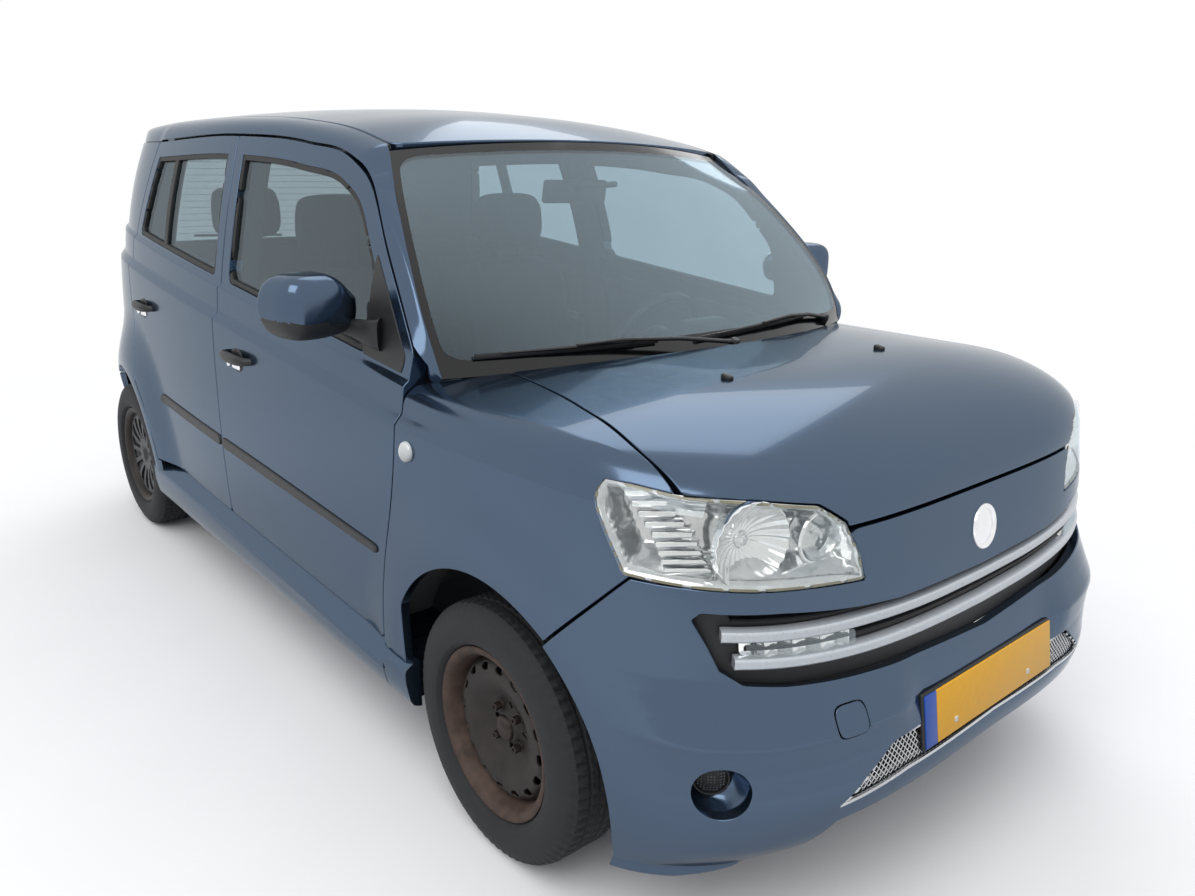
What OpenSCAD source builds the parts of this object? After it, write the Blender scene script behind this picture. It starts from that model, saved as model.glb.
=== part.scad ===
// Compact five-door minivan with hinged doors, hood and tailgate and steered front wheels.
// X points forwards, Y to the left and Z up, with the origin on the ground at mid length.

/* [Overall size] */
// Length over the bumpers
body_length = 3800; // [3700:10:3860]
// Width over the wheel arch flares
body_width = 1690; // [1660:5:1720]
// Height of the roof crown above the ground
body_height = 1635; // [1610:5:1670]
// Distance between the front and rear axles
wheelbase = 2540; // [2500:10:2570]
// Distance from the front axle to the nose
front_overhang = 700; // [690:5:715]
// Distance between the tyre centres on one axle
track = 1475; // [1455:5:1485]

/* [Wheels] */
// Outside diameter of a tyre
tyre_d = 583; // [570:1:590]
// Width of a tyre
tyre_w = 175; // [165:5:180]
// Diameter over the rim flanges
rim_d = 388; // [380:2:392]
// Diameter of the bolt circle
bolt_circle = 100; // [98:1:108]
// Radius of a wheel arch opening
arch_r = 372; // [362:2:380]
// Width of the arch lip left between the opening and the rear door
arch_lip = 43; // [38:1:50]
// Diameter of a stub axle
axle_d = 30; // [26:1:34]
// Running clearance on the radius of shafts and pins
run_gap = 0.3; // [0.2:0.05:0.5]
// Lean of the steering axis towards the middle, in degrees
steer_lean = 10; // [8:0.5:12]

/* [Body side] */
// Height of the widest line of the side
widest_h = 620; // [590:5:650]
// Height of the upper crease at the front door's leading edge
crease_h = 918; // [905:1:930]
// Rise of the crease towards the rear, per millimetre
crease_rise = 0.074; // [0.06:0.002:0.085]
// Depth of the crease step
crease_depth = 18; // [10:1:22]
// Height of the crease step
crease_band = 24; // [16:1:30]
// Height of the window ledge at mid length
belt_h = 1068; // [1055:1:1080]
// Rise of the window ledge towards the rear, per millimetre
belt_rise = 0.085; // [0.07:0.005:0.1]
// Depth of the window ledge
ledge_depth = 12; // [6:1:16]
// Height of the window ledge
ledge_band = 12; // [8:1:16]
// Inward lean of the side windows, per millimetre of height
tumble = 0.26; // [0.22:0.01:0.28]
// Outward bow of the side windows
window_bow = 10; // [4:1:14]
// How far the front flare stands out
front_flare = 16; // [8:1:22]
// How far the rear flare stands out
rear_flare = 44; // [34:1:50]

/* [Doors and panels] */
// Thickness of a door below the windows
door_t = 75; // [65:1:85]
// Thickness of a window frame
frame_t = 40; // [34:1:46]
// Width of a window frame seen from the side
frame_w = 54; // [46:1:60]
// Gap along the shut lines
shut_gap = 6; // [5:0.5:8]
// Seating gap between fixed pieces
seat_gap = 0.3; // [0.2:0.1:0.5]
// Thickness of the outer wings and bumpers
skin_t = 24; // [18:1:30]
// Thickness of the roof and hood panels
top_t = 32; // [26:1:36]
// Thickness of the window glass
glass_t = 5; // [4:0.5:7]
// Height of the door bottoms at mid length
door_bottom_h = 362; // [350:1:372]
// Rise of the sill line towards the rear, per millimetre
sill_rise = 0.025; // [0.015:0.005:0.03]
// Half width of the tailgate at its glass
gate_half = 585; // [560:5:600]

/* [Cabin] */
// Height of the floor's top face
floor_h = 262; // [255:1:270]
// Thickness of the floor
floor_t = 30; // [24:1:36]
// Width of a front seat
seat_w = 490; // [460:5:510]
// Distance between the middles of the front seats
seat_pitch = 700; // [680:5:720]
// Diameter of the steering wheel rim's centre line
steering_d = 350; // [330:5:365]
// Rake of the steering column, in degrees
column_rake = 25; // [20:1:28]

/* [Hidden] */
$fn = 48;
paint = "#5b7186";
black = "#17181a";
trim = "#2a2b2d";

// Main stations
nose = body_length / 2;
tail = -body_length / 2;
front_axle = nose - front_overhang;
rear_axle_x = front_axle - wheelbase;
axle_z = tyre_d / 2;
half_w = body_width / 2;
flare_room = 17;
a_line = front_axle - 340;
b_line = front_axle - 1480;
wheel_y = track / 2;
far = 1200;

// Plan of the ends: where the corner curves start and how square they are
front_start = front_axle;
front_power = 3.5;
rear_start = rear_axle_x + 440;
rear_power = 4.5;
nose_h = 858;
// Setback of the front face from the nose, by height
front_rows = [[190, 110], [260, 34], [320, 7], [360, 0], [420, 10], [500, 32], [545, 42],
    [610, 58], [690, 70], [770, 80], [nose_h, 94]];
// Setback of the rear face from the tail, by height
rear_rows = [[200, 65], [330, 12], [430, 0], [540, 6], [620, 20], [800, 32], [1000, 50],
    [1150, 74], [1300, 115], [1450, 165], [1550, 210], [1620, 262]];

// Small helpers
function lerp(a, b, t) = a + (b - a) * t;
function clip(t) = max(0, min(1, t));
function smooth(t) = let (u = clip(t)) u * u * (3 - 2 * u);
function row_slope(r, i) =
    i == 0 ? (r[1][1] - r[0][1]) / (r[1][0] - r[0][0]) :
    i == len(r) - 1 ? (r[i][1] - r[i - 1][1]) / (r[i][0] - r[i - 1][0]) :
    let (a = r[i][0] - r[i - 1][0], b = r[i + 1][0] - r[i][0])
    ((r[i][1] - r[i - 1][1]) / a * b + (r[i + 1][1] - r[i][1]) / b * a) / (a + b);
function row_index(r, t, i = 0) =
    i >= len(r) - 2 || t < r[i + 1][0] ? i : row_index(r, t, i + 1);
// Smooth curve through rows of [place, value]
function curve(r, place) =
    let (t = min(max(place, r[0][0]), r[len(r) - 1][0]), i = row_index(r, t),
        h = r[i + 1][0] - r[i][0], s = (t - r[i][0]) / h)
    (2 * s^3 - 3 * s^2 + 1) * r[i][1] + (s^3 - 2 * s^2 + s) * h * row_slope(r, i)
    + (3 * s^2 - 2 * s^3) * r[i + 1][1] + (s^3 - s^2) * h * row_slope(r, i + 1);
function steps(a, b, n) = [for (i = [0:n]) lerp(a, b, i / n)];

// Shape of the body side
function crease_z(x) = crease_h + crease_rise * max(0, a_line - x);
function belt_z(x) = belt_h - belt_rise * x;
function wing_mix(x) = smooth((x - a_line) / (front_axle - a_line));
function taper(x) = 40 * (max(0, b_line - x) / 1200)^2 + 6 * (max(0, x - a_line) / 340)^2;
function flare(x, z) =
    front_flare * smooth((arch_r + 190 - norm([x - front_axle, z - axle_z])) / 190)
    + rear_flare * smooth((arch_r + 230 - norm([x - rear_axle_x, z - axle_z])) / 230);
function section_y(x, z) =
    let (zc = crease_z(x), zb = x > a_line + 20 ? 5000 : belt_z(x),
        up = clip((z - zb) / (door_top - zb)))
    half_w - flare_room
    - (z < widest_h ? 12 * ((widest_h - z) / 320)^2 : 8 * ((min(z, zc) - widest_h) / 330)^2)
    - crease_depth * lerp(1, 0.2, wing_mix(x)) * clip((z - zc) / crease_band + 0.5)
    - lerp(0.1, 0.28, wing_mix(x)) * max(0, min(z, zb) - zc)
    - ledge_depth * clip((z - zb) / ledge_band + 0.5)
    - tumble * max(0, z - zb) + 4 * window_bow * up * (1 - up)
    - taper(x);
function front_x(z) = nose - curve(front_rows, z);
function rear_x(z) = tail + curve(rear_rows, z);
function front_fall(x, z) =
    (1 - clip((x - front_start) / (front_x(z) - front_start))^front_power)^(1 / front_power);
function rear_fall(x, z) =
    (1 - clip((rear_start - x) / (rear_start - rear_x(z)))^rear_power)^(1 / rear_power);
// Half width of the body at a station and height
function side_y(x, z) = (section_y(x, z) + flare(x, z)) * front_fall(x, z) * rear_fall(x, z);

// Hood dome: flat on top and rolling down to the nose line
dome_start = front_axle + 130;
dome_power = 2.3;
hood_h = 1042;
hood_crown = 55;
function hood_top(a) = hood_h - hood_crown * (abs(a) / 780)^3;
function nose_half(z) = section_y(front_start, z);
function nose_at(a, z) =
    front_start + (front_x(z) - front_start)
    * (1 - clip(abs(a) / nose_half(z))^front_power)^(1 / front_power);
function dome_z(x, a) =
    let (u = clip((x - dome_start) / max(1, nose_at(a, nose_h) - dome_start)))
    nose_h + (hood_top(a) - nose_h) * (1 - u^dome_power)^(1 / dome_power);
// Front face at a half width and height, carried on over the nose line
function face_x(a, z) =
    z <= nose_h ? nose_at(a, z) :
    let (f = clip((z - nose_h) / (hood_top(a) - nose_h)))
    dome_start + (nose_at(a, nose_h) - dome_start) * (1 - f^dome_power)^(1 / dome_power);

// Roof
ditch_y = 594;
roof_rows = [[-1700, 75], [-1500, 33], [-1200, 10], [-800, 0], [-400, 1], [0, 17], [300, 49],
    [450, 82], [560, 110]];
function roof_z(x, a) = body_height - curve(roof_rows, x) - 45 * (a / ditch_y)^2;
screen_top = 1490;

// Door outlines, seen from the side
door_top = body_height - 105;
door_corner = 1062;
// Upper edge of the doors: place from the front axle, share of the height over the corner
door_top_rows = [[-2340, 0.965], [-1536, 1], [-1046, 0.951], [-778, 0.868], [-652, 0.737],
    [-530, 0.449], [-403, 0.156], [-340, 0]];
function door_top_z(x) =
    door_corner + (door_top - door_corner) * curve(door_top_rows, x - front_axle);
front_edge_rows = [[300, -96], [566, -65], [802, -18], [1000, -4], [door_corner, 0]];
function front_edge(z) = a_line + curve(front_edge_rows, z);
b_edge_rows = [[300, 20], [900, 0], [1250, -20], [door_top, -56]];
function b_edge(z) = b_line + curve(b_edge_rows, z);
lip_r = arch_r + arch_lip;
lip_rise = 358;
rear_edge_rows = [[axle_z + lip_rise, sqrt(lip_r^2 - lip_rise^2)], [750, 172], [850, 126], [950, 92],
    [1060, 79], [1162, 92], [1339, 163], [door_top, 233]];
function rear_edge(z) =
    z < axle_z + lip_rise ? rear_axle_x + sqrt(max(0, lip_r^2 - (z - axle_z)^2))
    : rear_axle_x + curve(rear_edge_rows, z);
function door_bottom(x) = door_bottom_h - sill_rise * x;
rear_top_x = rear_edge(door_top);

module front_door_outline() {
    bottom = door_bottom(front_edge(300));
    polygon(concat(
        [for (z = steps(bottom, door_corner, 7)) [front_edge(z), z]],
        [for (x = steps(a_line - 40, b_edge(door_top) + shut_gap, 14)) [x, door_top_z(x)]],
        [for (z = steps(door_top - 20, door_bottom(b_line), 5)) [b_edge(z) + shut_gap / 2, z]]));
}

module rear_door_outline() {
    low = door_bottom(rear_axle_x + lip_r);
    polygon(concat(
        [for (z = steps(door_bottom(b_line), door_top - 20, 5)) [b_edge(z) - shut_gap / 2, z]],
        [for (x = steps(b_edge(door_top) - shut_gap, rear_top_x, 6)) [x, door_top_z(x)]],
        [for (z = steps(door_top - 40, low, 16)) [rear_edge(z), z]]));
}

// Window openings: the door outline drawn in by the frame and kept above the ledge
module window_of(x0, x1) {
    offset(r = 14, $fn = 16) offset(delta = -14) intersection() {
        offset(delta = -frame_w) children();
        polygon([[x0, belt_z(x0) + 16], [x1, belt_z(x1) + 16], [x1, 2000], [x0, 2000]]);
    }
}

sail_x = a_line - 215;
divider_x = rear_axle_x + 470;
divider_w = 36;
module front_window() window_of(b_line - 200, sail_x) front_door_outline();
module rear_window() window_of(rear_axle_x - 200, b_line + 100) rear_door_outline();
module divider_bar(extra = 0)
    translate([divider_x - divider_w / 2 - extra, belt_h]) square([divider_w + 2 * extra, 600]);

// Solids from grids and outlines
module shell(outer, inner) {
    rows = len(outer);
    cols = len(outer[0]);
    count = rows * cols;
    function at(i, j, side) = side * count + i * cols + j;
    function quad(a, b, c, d) = [[a, b, c], [a, c, d]];
    rim = concat([for (j = [0:cols - 1]) [0, j]], [for (i = [1:rows - 1]) [i, cols - 1]],
        [for (j = [cols - 2:-1:0]) [rows - 1, j]], [for (i = [rows - 2:-1:1]) [i, 0]]);
    turns = len(rim);
    polyhedron([for (g = [outer, inner], row = g, p = row) p], concat(
        [for (i = [0:rows - 2], j = [0:cols - 2])
            each quad(at(i, j, 0), at(i + 1, j, 0), at(i + 1, j + 1, 0), at(i, j + 1, 0))],
        [for (i = [0:rows - 2], j = [0:cols - 2])
            each quad(at(i, j, 1), at(i, j + 1, 1), at(i + 1, j + 1, 1), at(i + 1, j, 1))],
        [for (k = [0:turns - 1]) let (p = rim[k], q = rim[(k + 1) % turns])
            each quad(at(p[0], p[1], 0), at(q[0], q[1], 0), at(q[0], q[1], 1), at(p[0], p[1], 1))]));
}

// Solid through a list of closed sections with the same number of points
module loft(sections) {
    rows = len(sections);
    cols = len(sections[0]);
    function at(i, j) = i * cols + j % cols;
    polyhedron([for (s = sections, p = s) p], concat(
        [for (i = [0:rows - 2], j = [0:cols - 1])
            each [[at(i, j), at(i + 1, j), at(i + 1, j + 1)], [at(i, j), at(i + 1, j + 1), at(i, j + 1)]]],
        [[for (j = [0:cols - 1]) at(0, j)]],
        [[for (j = [cols - 1:-1:0]) at(rows - 1, j)]]));
}

module meshed() resize([0, 0, 0]) children();
module on_left() mirror([0, 1, 0]) children();
module both_sides() {
    children();
    on_left() children();
}
module side_prism(y0 = 400, y1 = 1000)
    rotate([90, 0, 0]) translate([0, 0, y0]) linear_extrude(y1 - y0) children();
module front_prism(x0, x1)
    translate([x1, 0, 0]) rotate([90, 0, -90]) linear_extrude(x1 - x0) children();
module arch_cut(x, r)
    translate([x, 0, axle_z]) rotate([90, 0, 0]) cylinder(h = far, r = r, $fn = 48);
// Front arch: a circle with an upright rear edge
module front_arch(r) {
    intersection() {
        arch_cut(front_axle, r);
        translate([a_line + 5, -far, 0]) cube([far, far, far]);
    }
}
// Round bar between two points
module rod(a, b, d) {
    w = b - a;
    translate(a) rotate([0, acos(w[2] / norm(w)), atan2(w[1], w[0])]) cylinder(h = norm(w), d = d);
}

// Right side shell between two stations, as thick as a door
function level_z(x, k) =
    let (zc = crease_z(x), zb = belt_z(x), lo = 300)
    k < 5 ? lerp(lo, zc - crease_band / 2, k / 4) :
    k == 5 ? zc + crease_band / 2 :
    k == 6 ? zb - ledge_band / 2 :
    lerp(zb + ledge_band / 2, door_top + 12, (k - 7) / 5);
function level_t(k) = k < 7 ? door_t : frame_t;
function side_grid(x0, x1, n, inset) =
    [for (k = [0:12]) [for (x = steps(x0, x1, n)) let (z = level_z(x, k))
        [x, -(side_y(x, z) - inset * level_t(k)), z]]];
module side_shell(x0, x1, n) shell(side_grid(x0, x1, n, 0), side_grid(x0, x1, n, 1));

module door(x0, x1, n, step = 0) {
    color(paint) meshed() difference() {
        intersection() {
            side_shell(x0, x1, n);
            side_prism() children(0);
        }
        side_prism() children(1);
        // The inner half is stepped in, so its corners swing clear of the body
        if (step > 0) intersection() {
            shell(side_grid(x0, x1, n, 0.4), side_grid(x0, x1, n, 1.3));
            side_prism() difference() {
                offset(delta = 20) children(0);
                offset(delta = -step) children(0);
            }
        }
    }
}

module door_front_right_solid() {
    door(b_line - 70, a_line + 10, 9) {
        front_door_outline();
        front_window();
    }
}

module door_rear_right_solid() {
    door(rear_axle_x + 40, b_line + 40, 9, 8) {
        rear_door_outline();
        difference() {
            rear_window();
            divider_bar();
        }
    }
}

// Door glass lies in the middle of the window frame
glass_inset = 12;
function glass_grid(x0, x1, n, inset) =
    [for (z = steps(belt_h - 60, door_top, 4)) [for (x = steps(x0, x1, n))
        [x, -(side_y(x, max(z, belt_z(x) + ledge_band)) - inset), z]]];
module door_glass(x0, x1, n) {
    color("#2b3136", 0.5) meshed() intersection() {
        shell(glass_grid(x0, x1, n, glass_inset), glass_grid(x0, x1, n, glass_inset + glass_t));
        side_prism() offset(delta = -seat_gap) children();
    }
}

module glass_front_right_solid() door_glass(b_line - 60, a_line, 3) front_window();
module glass_rear_right_solid()
    door_glass(rear_axle_x + 60, b_line, 4) difference() {
        rear_window();
        divider_bar();
    }

// Rail over the doors, from the tailgate along the roof and down the windscreen pillar
screen_half_top = 594;
screen_half_low = 712;
screen_low_z = 1022;
screen_drop = 15;
hood_rear_mid = 1118;
hood_sweep = 205;
function hood_rear(a) = hood_rear_mid - hood_sweep * (abs(a) / 690)^2.4;
function screen_edge(v) =
    [lerp(hood_rear(screen_half_low) - 8, a_line - 398, v) + 72 * v * (1 - v) * 0.5,
        lerp(screen_half_low, screen_half_top, v), lerp(screen_low_z - screen_drop, screen_top, v)];
function rail_door(x) =
    let (behind = x < rear_top_x - shut_gap, rise = shut_gap + lerp(2, 9, smooth((x - a_line + 500) / 150)),
        z = behind ? door_top - 14 : door_top_z(x) + rise)
    [x, side_y(x, z) - (behind ? 4 : 0), z];
// Half width of the roof, drawn in where the body narrows at the rear
function ditch(x) = min(ditch_y, side_y(x, door_top - 14) - 20);
roof_edge_xs = concat(steps(rear_axle_x - 286, a_line - 700, 7), [a_line - 600, a_line - 500, a_line - 405]);
// Stations as [door side x, roof or screen side point]
rail_stations = concat(
    [for (x = roof_edge_xs) [x, [x, ditch(x), roof_z(x, ditch(x))]]],
    [[a_line - 312, screen_edge(0.86)], [a_line - 250, screen_edge(0.66)], [a_line - 180, screen_edge(0.44)],
        [a_line - 110, screen_edge(0.24)], [a_line - 50, screen_edge(0.1)], [a_line - 2, screen_edge(0)]]);
function rail_section(s, k) =
    let (d0 = rail_door(s[0]), d = [d0[0], -d0[1], d0[2]], r = [s[1][0], -s[1][1], s[1][2]],
        post = clip((k - 9) / 4), bulge = lerp(20, 9, post),
        out = [lerp(0, 0.45, post), -0.75, lerp(0.66, 0.48, post)],
        din = d + [lerp(0, 2, post), lerp(44, 52, post), s[0] < rear_axle_x ? -14 : lerp(4, 9, post)],
        rin = r + [lerp(0, -34, post), -4, lerp(-44, -34, post)])
    [din, rin, r, lerp(d, r, 0.65) + bulge * out, lerp(d, r, 0.3) + bulge * out, d];
module side_rail() loft([for (k = [0:len(rail_stations) - 1]) rail_section(rail_stations[k], k)]);

// Corner of the body behind the rear door, drawn along the plan curve and down round the arch
quarter_low = 600;
gate_low = 640;
lip_low = door_bottom(rear_axle_x) - shut_gap - 31;
function gate_edge(z) =
    gate_half - 22 * smooth((1000 - z) / 300) - 85 * smooth((z - 1050) / 500);
// Point of the rear surface, by the angle from straight behind
function back_point(t, z, inset) =
    let (s = sign(t), x = rear_start - (rear_start - rear_x(z) - inset) * cos(t)^(2 / rear_power),
        w = section_y(x, z) + flare(x, z) - inset)
    [x, s * w * sin(abs(t))^(2 / rear_power), z];
function back_grid(zs, ts, inset) = [for (z = zs) [for (t = ts) back_point(t, z, inset)]];
// Angle at which the rear surface reaches a half width
function back_angle(a, z, w, n = 5) =
    let (t = asin(clip(a / w)^(rear_power / 2)))
    n == 0 ? t : let (p = back_point(t, z, 0)) back_angle(a, z, section_y(p[0], z) + flare(p[0], z), n - 1);
function quarter_start(z) =
    -acos(clip((rear_start - rear_edge(z) - 20) / (rear_start - rear_x(z)))^(rear_power / 2));
function quarter_end(z) = -back_angle(gate_edge(z) - 10, z, section_y(rear_axle_x - 300, z));
quarter_zs = concat(steps(lip_low, 560, 2), steps(620, 1000, 4), steps(1060, door_top - 15, 5));
function quarter_grid(inset) =
    [for (z = quarter_zs)
        [for (k = [0:9]) back_point(lerp(quarter_end(z), quarter_start(z), k / 9), z, inset)]];
module gate_space() {
    polygon(concat([for (z = steps(quarter_low - 20, gate_high, 9)) [gate_edge(z) + shut_gap, z]],
        [[0, gate_high + 8], [0, quarter_low - 20]]));
}
module quarter_panel() {
    difference() {
        shell(quarter_grid(0), quarter_grid(frame_t));
        translate([rear_axle_x - far, -far, 0]) cube([far, far, quarter_low]);
        side_prism() offset(delta = shut_gap) rear_door_outline();
        // Rebate behind the outer edge, so the door's inner corner swings clear
        intersection() {
            shell(quarter_grid(10), quarter_grid(frame_t + 20));
            side_prism() offset(delta = shut_gap + 13) rear_door_outline();
        }
        front_prism(tail - 10, rear_axle_x - 250) tail_lamp_outline(seat_gap);
    }
}

// Sill with its skirt, from arch to arch
sill_y = 640;
sill_low = 215;
function sill_section(x) =
    let (top = door_bottom(x) - shut_gap, out = half_w)
    [[x, -(out - 46), top], [x, -(out - 42), top - 8], [x, -(out - 10), top - 48], [x, -out, top - 72],
        [x, -(out - 14), sill_low + 22], [x, -(out - 60), sill_low], [x, -sill_y, sill_low],
        [x, -sill_y, top]];
sill_front = a_line + 18;
sill_rear = rear_axle_x + arch_r + 4;
module sill() {
    difference() {
        loft([for (x = [sill_rear - 40, sill_rear + 30, 0, sill_front - 40, sill_front]) sill_section(x)]);
        jack_slots();
    }
}
// Jacking pads under the sill: a flat seat between two notches
jack_front = a_line - 90;
jack_rear = rear_axle_x + arch_r + 110;
jack_len = 70;
jack_y = 735;
module jack_slots() {
    for (x = [jack_front, jack_rear], s = [-1, 1])
        translate([x + s * (jack_len / 2 + 9) - 6, -far, 0]) cube([12, far, sill_low + 24]);
}

// Posts that carry the doors
post_t = 56;
module centre_post() {
    function post(z) =
        let (x = b_edge(z), y = side_y(x, z) - (z < belt_z(x) + 10 ? door_t : frame_t) - shut_gap - 4)
        [[x - 42, -y, z], [x + 42, -y, z], [x + 30, -y + post_t, z], [x - 30, -y + post_t, z]];
    zs = [door_bottom(b_line) - 20, 700, belt_z(b_line) + 9, belt_z(b_line) + 60, 1300, door_top + 14];
    loft([for (z = zs) post(z)]);
}
module hinge_post() {
    function post(z) = let (x = a_line + 14, y = 752)
        [[x, -y, z], [x + 84, -y + 14, z], [x + 84, -sill_y, z], [x, -sill_y, z]];
    loft([for (z = [door_bottom(a_line) - 40, 700, 952]) post(z)]);
    translate([a_line + 5.5, -716, 930]) cube([28, 61, 71]);
}

module body_side_right_solid() {
    color(paint) meshed() difference() {
        union() {
            side_rail();
            quarter_panel();
            sill();
            centre_post();
            hinge_post();
        }
        arch_cut(rear_axle_x, arch_r);
        front_arch(house_r);
        front_prism(tail - 50, rear_axle_x - 100) gate_space();
    }
}

// Roof between the side rails
gate_top_x = rear_x(1560);
function roof_x(k, i) =
    lerp(lerp(gate_top_x + shut_gap, a_line - 318, i / 10), roof_edge_xs[i], k * k);
function roof_grid(drop) =
    [for (k = steps(-1, 1, 10))
        [for (i = [0:10]) let (x = roof_x(k, i), a = k * (ditch(x) - seat_gap))
            [x, a, roof_z(x, abs(a)) - drop]]];
module roof_panel() color(paint) meshed() shell(roof_grid(0), roof_grid(top_t));

// Windscreen between the pillars, the roof and the cowl
function screen_point(u, v, inset) =
    let (e = screen_edge(v), a = abs(u), mid_top = a_line - 312, mid_low = hood_rear_mid - 62,
        mid = [lerp(mid_low, mid_top, v) + 10 * 4 * v * (1 - v), 0,
            lerp(screen_low_z, roof_z(a_line - 312, 0) - 4, v)],
        x = lerp(mid[0], e[0], a^lerp(2.4, 2, v)), z = lerp(mid[2], e[2], a^2))
    [x - inset * 0.73, u * (e[1] - seat_gap), z - inset * 0.68];
function screen_grid(inset) =
    [for (u = steps(-1, 1, 10)) [for (v = [1, 0.86, 0.66, 0.44, 0.24, 0.1, 0]) screen_point(u, v, inset)]];
module windscreen() color("#20262b", 0.5) meshed() shell(screen_grid(0), screen_grid(glass_t));

// Cowl below the windscreen, with the wiper arms and blades
cowl_t = 26;
cowl_top = screen_low_z - screen_drop - 6;
wiper_arm = 14;
// Blade along the glass from one place to another, each [across, up]
module wiper(pivot, from, to) {
    lift = 13;
    us = steps(from[0], to[0], 4);
    vs = steps(from[1], to[1], 4);
    spots = [for (k = [0:4]) screen_point(us[k], vs[k], -lift)];
    arm = [pivot, screen_point(us[3], vs[3], -28), screen_point(us[2], vs[2], -24)];
    translate(pivot - [0, 0, 60]) cylinder(h = 68, d = 20, $fn = 12);
    for (k = [0:1]) hull() {
        translate(arm[k]) sphere(d = wiper_arm - 2 * k, $fn = 8);
        translate(arm[k + 1]) sphere(d = wiper_arm - 4, $fn = 8);
    }
    hull() {
        translate(arm[2]) sphere(d = wiper_arm - 4, $fn = 8);
        translate(spots[2]) sphere(d = wiper_arm - 4, $fn = 8);
    }
    for (k = [0:3]) hull() {
        translate(spots[k]) sphere(d = wiper_arm - 3, $fn = 8);
        translate(spots[k + 1]) sphere(d = wiper_arm - 3, $fn = 8);
    }
}
module cowl_panel() {
    cowl_half = sill_y - 4;
    color(black) meshed() union() {
        translate([0, 0, cowl_top - cowl_t]) linear_extrude(cowl_t) polygon(concat(
            [for (k = steps(-1, 1, 12)) [hood_rear(k * cowl_half) - 6, k * cowl_half]],
            [for (k = steps(1, -1, 12)) [hood_rear(k * cowl_half) - 110, k * cowl_half]]));
        wiper([hood_rear(20) - 20, 20, cowl_top + 40], [-0.74, 0.17], [-0.04, 0.1]);
        wiper([hood_rear(520) - 20, 520, cowl_top + 40], [0.02, 0.1], [0.62, 0.13]);
    }
}

// Front wings
shut_rows = [[900, 585], [1090, 604], [1200, 623], [1370, 663], [1520, 697], [1640, 703]];
function shut_y(x) = curve(shut_rows, x - front_axle + 1200);
function screen_low_y(x) = 690 * (max(0, hood_rear_mid + 4 - x) / hood_sweep)^(1 / 2.4);
function wing_inner(x) = max(shut_y(x) + shut_gap, screen_low_y(x));
function wing_column(x, inset) =
    let (low = door_bottom(a_line) - 10, ys = side_y(x, 950), zs = dome_z(x, ys) - 14,
        zc = min(crease_z(x), zs - 30), yt = side_y(x, zs), yi = min(wing_inner(x), yt - 30))
    concat(
        [for (z = concat(steps(low, zc - 12, 7), [zc + 12, zs])) [x, -(side_y(x, z) - inset), z]],
        [for (f = [0.0, 0.3, 0.65, 1]) let (a = lerp(yt - 14, yi, f))
            [x, -(a - (f == 0 ? inset * 0.6 : 0)), dome_z(x, a) - inset]]);
wing_front = front_axle + 450;
function wing_grid(inset) =
    let (cols = [for (x = concat(steps(a_line - 110, front_axle, 7), steps(front_axle + 60, wing_front, 6)))
        wing_column(x, inset)])
    [for (i = [0:len(cols[0]) - 1]) [for (c = cols) c[i]]];
module wing_outline() {
    polygon(concat(
        [for (z = steps(door_bottom(a_line), door_corner, 7)) [front_edge(z) + shut_gap, z]],
        [[a_line + shut_gap, 1200], [front_axle + 600, 1200], [front_axle + 600, seam_top],
            [seam_front, seam_top], [seam_rear, seam_low], [front_axle, seam_low - 100],
            [front_axle, 0], [a_line - 200, 0]]));
}
seam_rear = front_axle + 196;
seam_low = 596;
seam_front = front_axle + 375;
seam_top = 784;
module wing() {
    difference() {
        intersection() {
            shell(wing_grid(0), wing_grid(skin_t));
            side_prism() wing_outline();
        }
        front_arch(arch_r);
        lamp_space(seat_gap);
        translate([0, 0, nose_h]) linear_extrude(400) polygon(concat([[a_line + 40, 0]],
            [for (x = steps(a_line + 100, front_axle + 460, 12)) [x, -shut_y(x) - shut_gap]],
            [[front_axle + 460, 0]]));
    }
}
module fenders() color(paint) meshed() both_sides() wing();

// Headlamps
lamp_depth = 95;
// Rear edge of a headlamp seen from the side
lamp_rear_rows = [[750, 375], [786, 367], [854, 331], [923, 296], [960, 312]];
module lamp_outline(extra) {
    offset(delta = extra) polygon([[850, 946], [744, 942], [701, 932], [606, 924], [493, 906],
        [440, 869], [409, 810], [397, 757], [482, 763], [623, 771], [709, 779], [768, 786], [850, 792]]);
}
module lamp_space(extra) {
    intersection() {
        front_prism(front_axle, nose + 50) lamp_outline(extra);
        side_prism(300, 1000) offset(delta = extra) polygon(concat(
            [for (r = lamp_rear_rows) [front_axle + r[1], r[0]]], [[nose + 50, 960], [nose + 50, 750]]));
    }
}
function face_point(t, z, inset) =
    let (s = sign(t), zz = min(z, nose_h), c = cos(t)^(2 / front_power), w = sin(abs(t))^(2 / front_power),
        x0 = front_start + (front_x(zz) - front_start - inset) * c,
        a = (nose_half(zz) + flare(x0, z) - inset - 0.2 * (z - zz)) * w,
        f = clip((z - nose_h) / (hood_top(a) - nose_h)))
    [z <= nose_h ? x0 : dome_start + (x0 - dome_start) * (1 - f^dome_power)^(1 / dome_power), s * a, z];
function face_grid(zs, ts, inset) = [for (z = zs) [for (t = ts) face_point(t, z, inset)]];
lamp_zs = [740, 800, nose_h, 885, 910, 932, 952];
lamp_ts = steps(-81, -12, 9);
module headlamp() {
    intersection() {
        shell(face_grid(lamp_zs, lamp_ts, 0), face_grid(lamp_zs, lamp_ts, lamp_depth));
        lamp_space(0);
    }
}
module headlamps() color("#c8ccd0") meshed() both_sides() headlamp();

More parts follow.
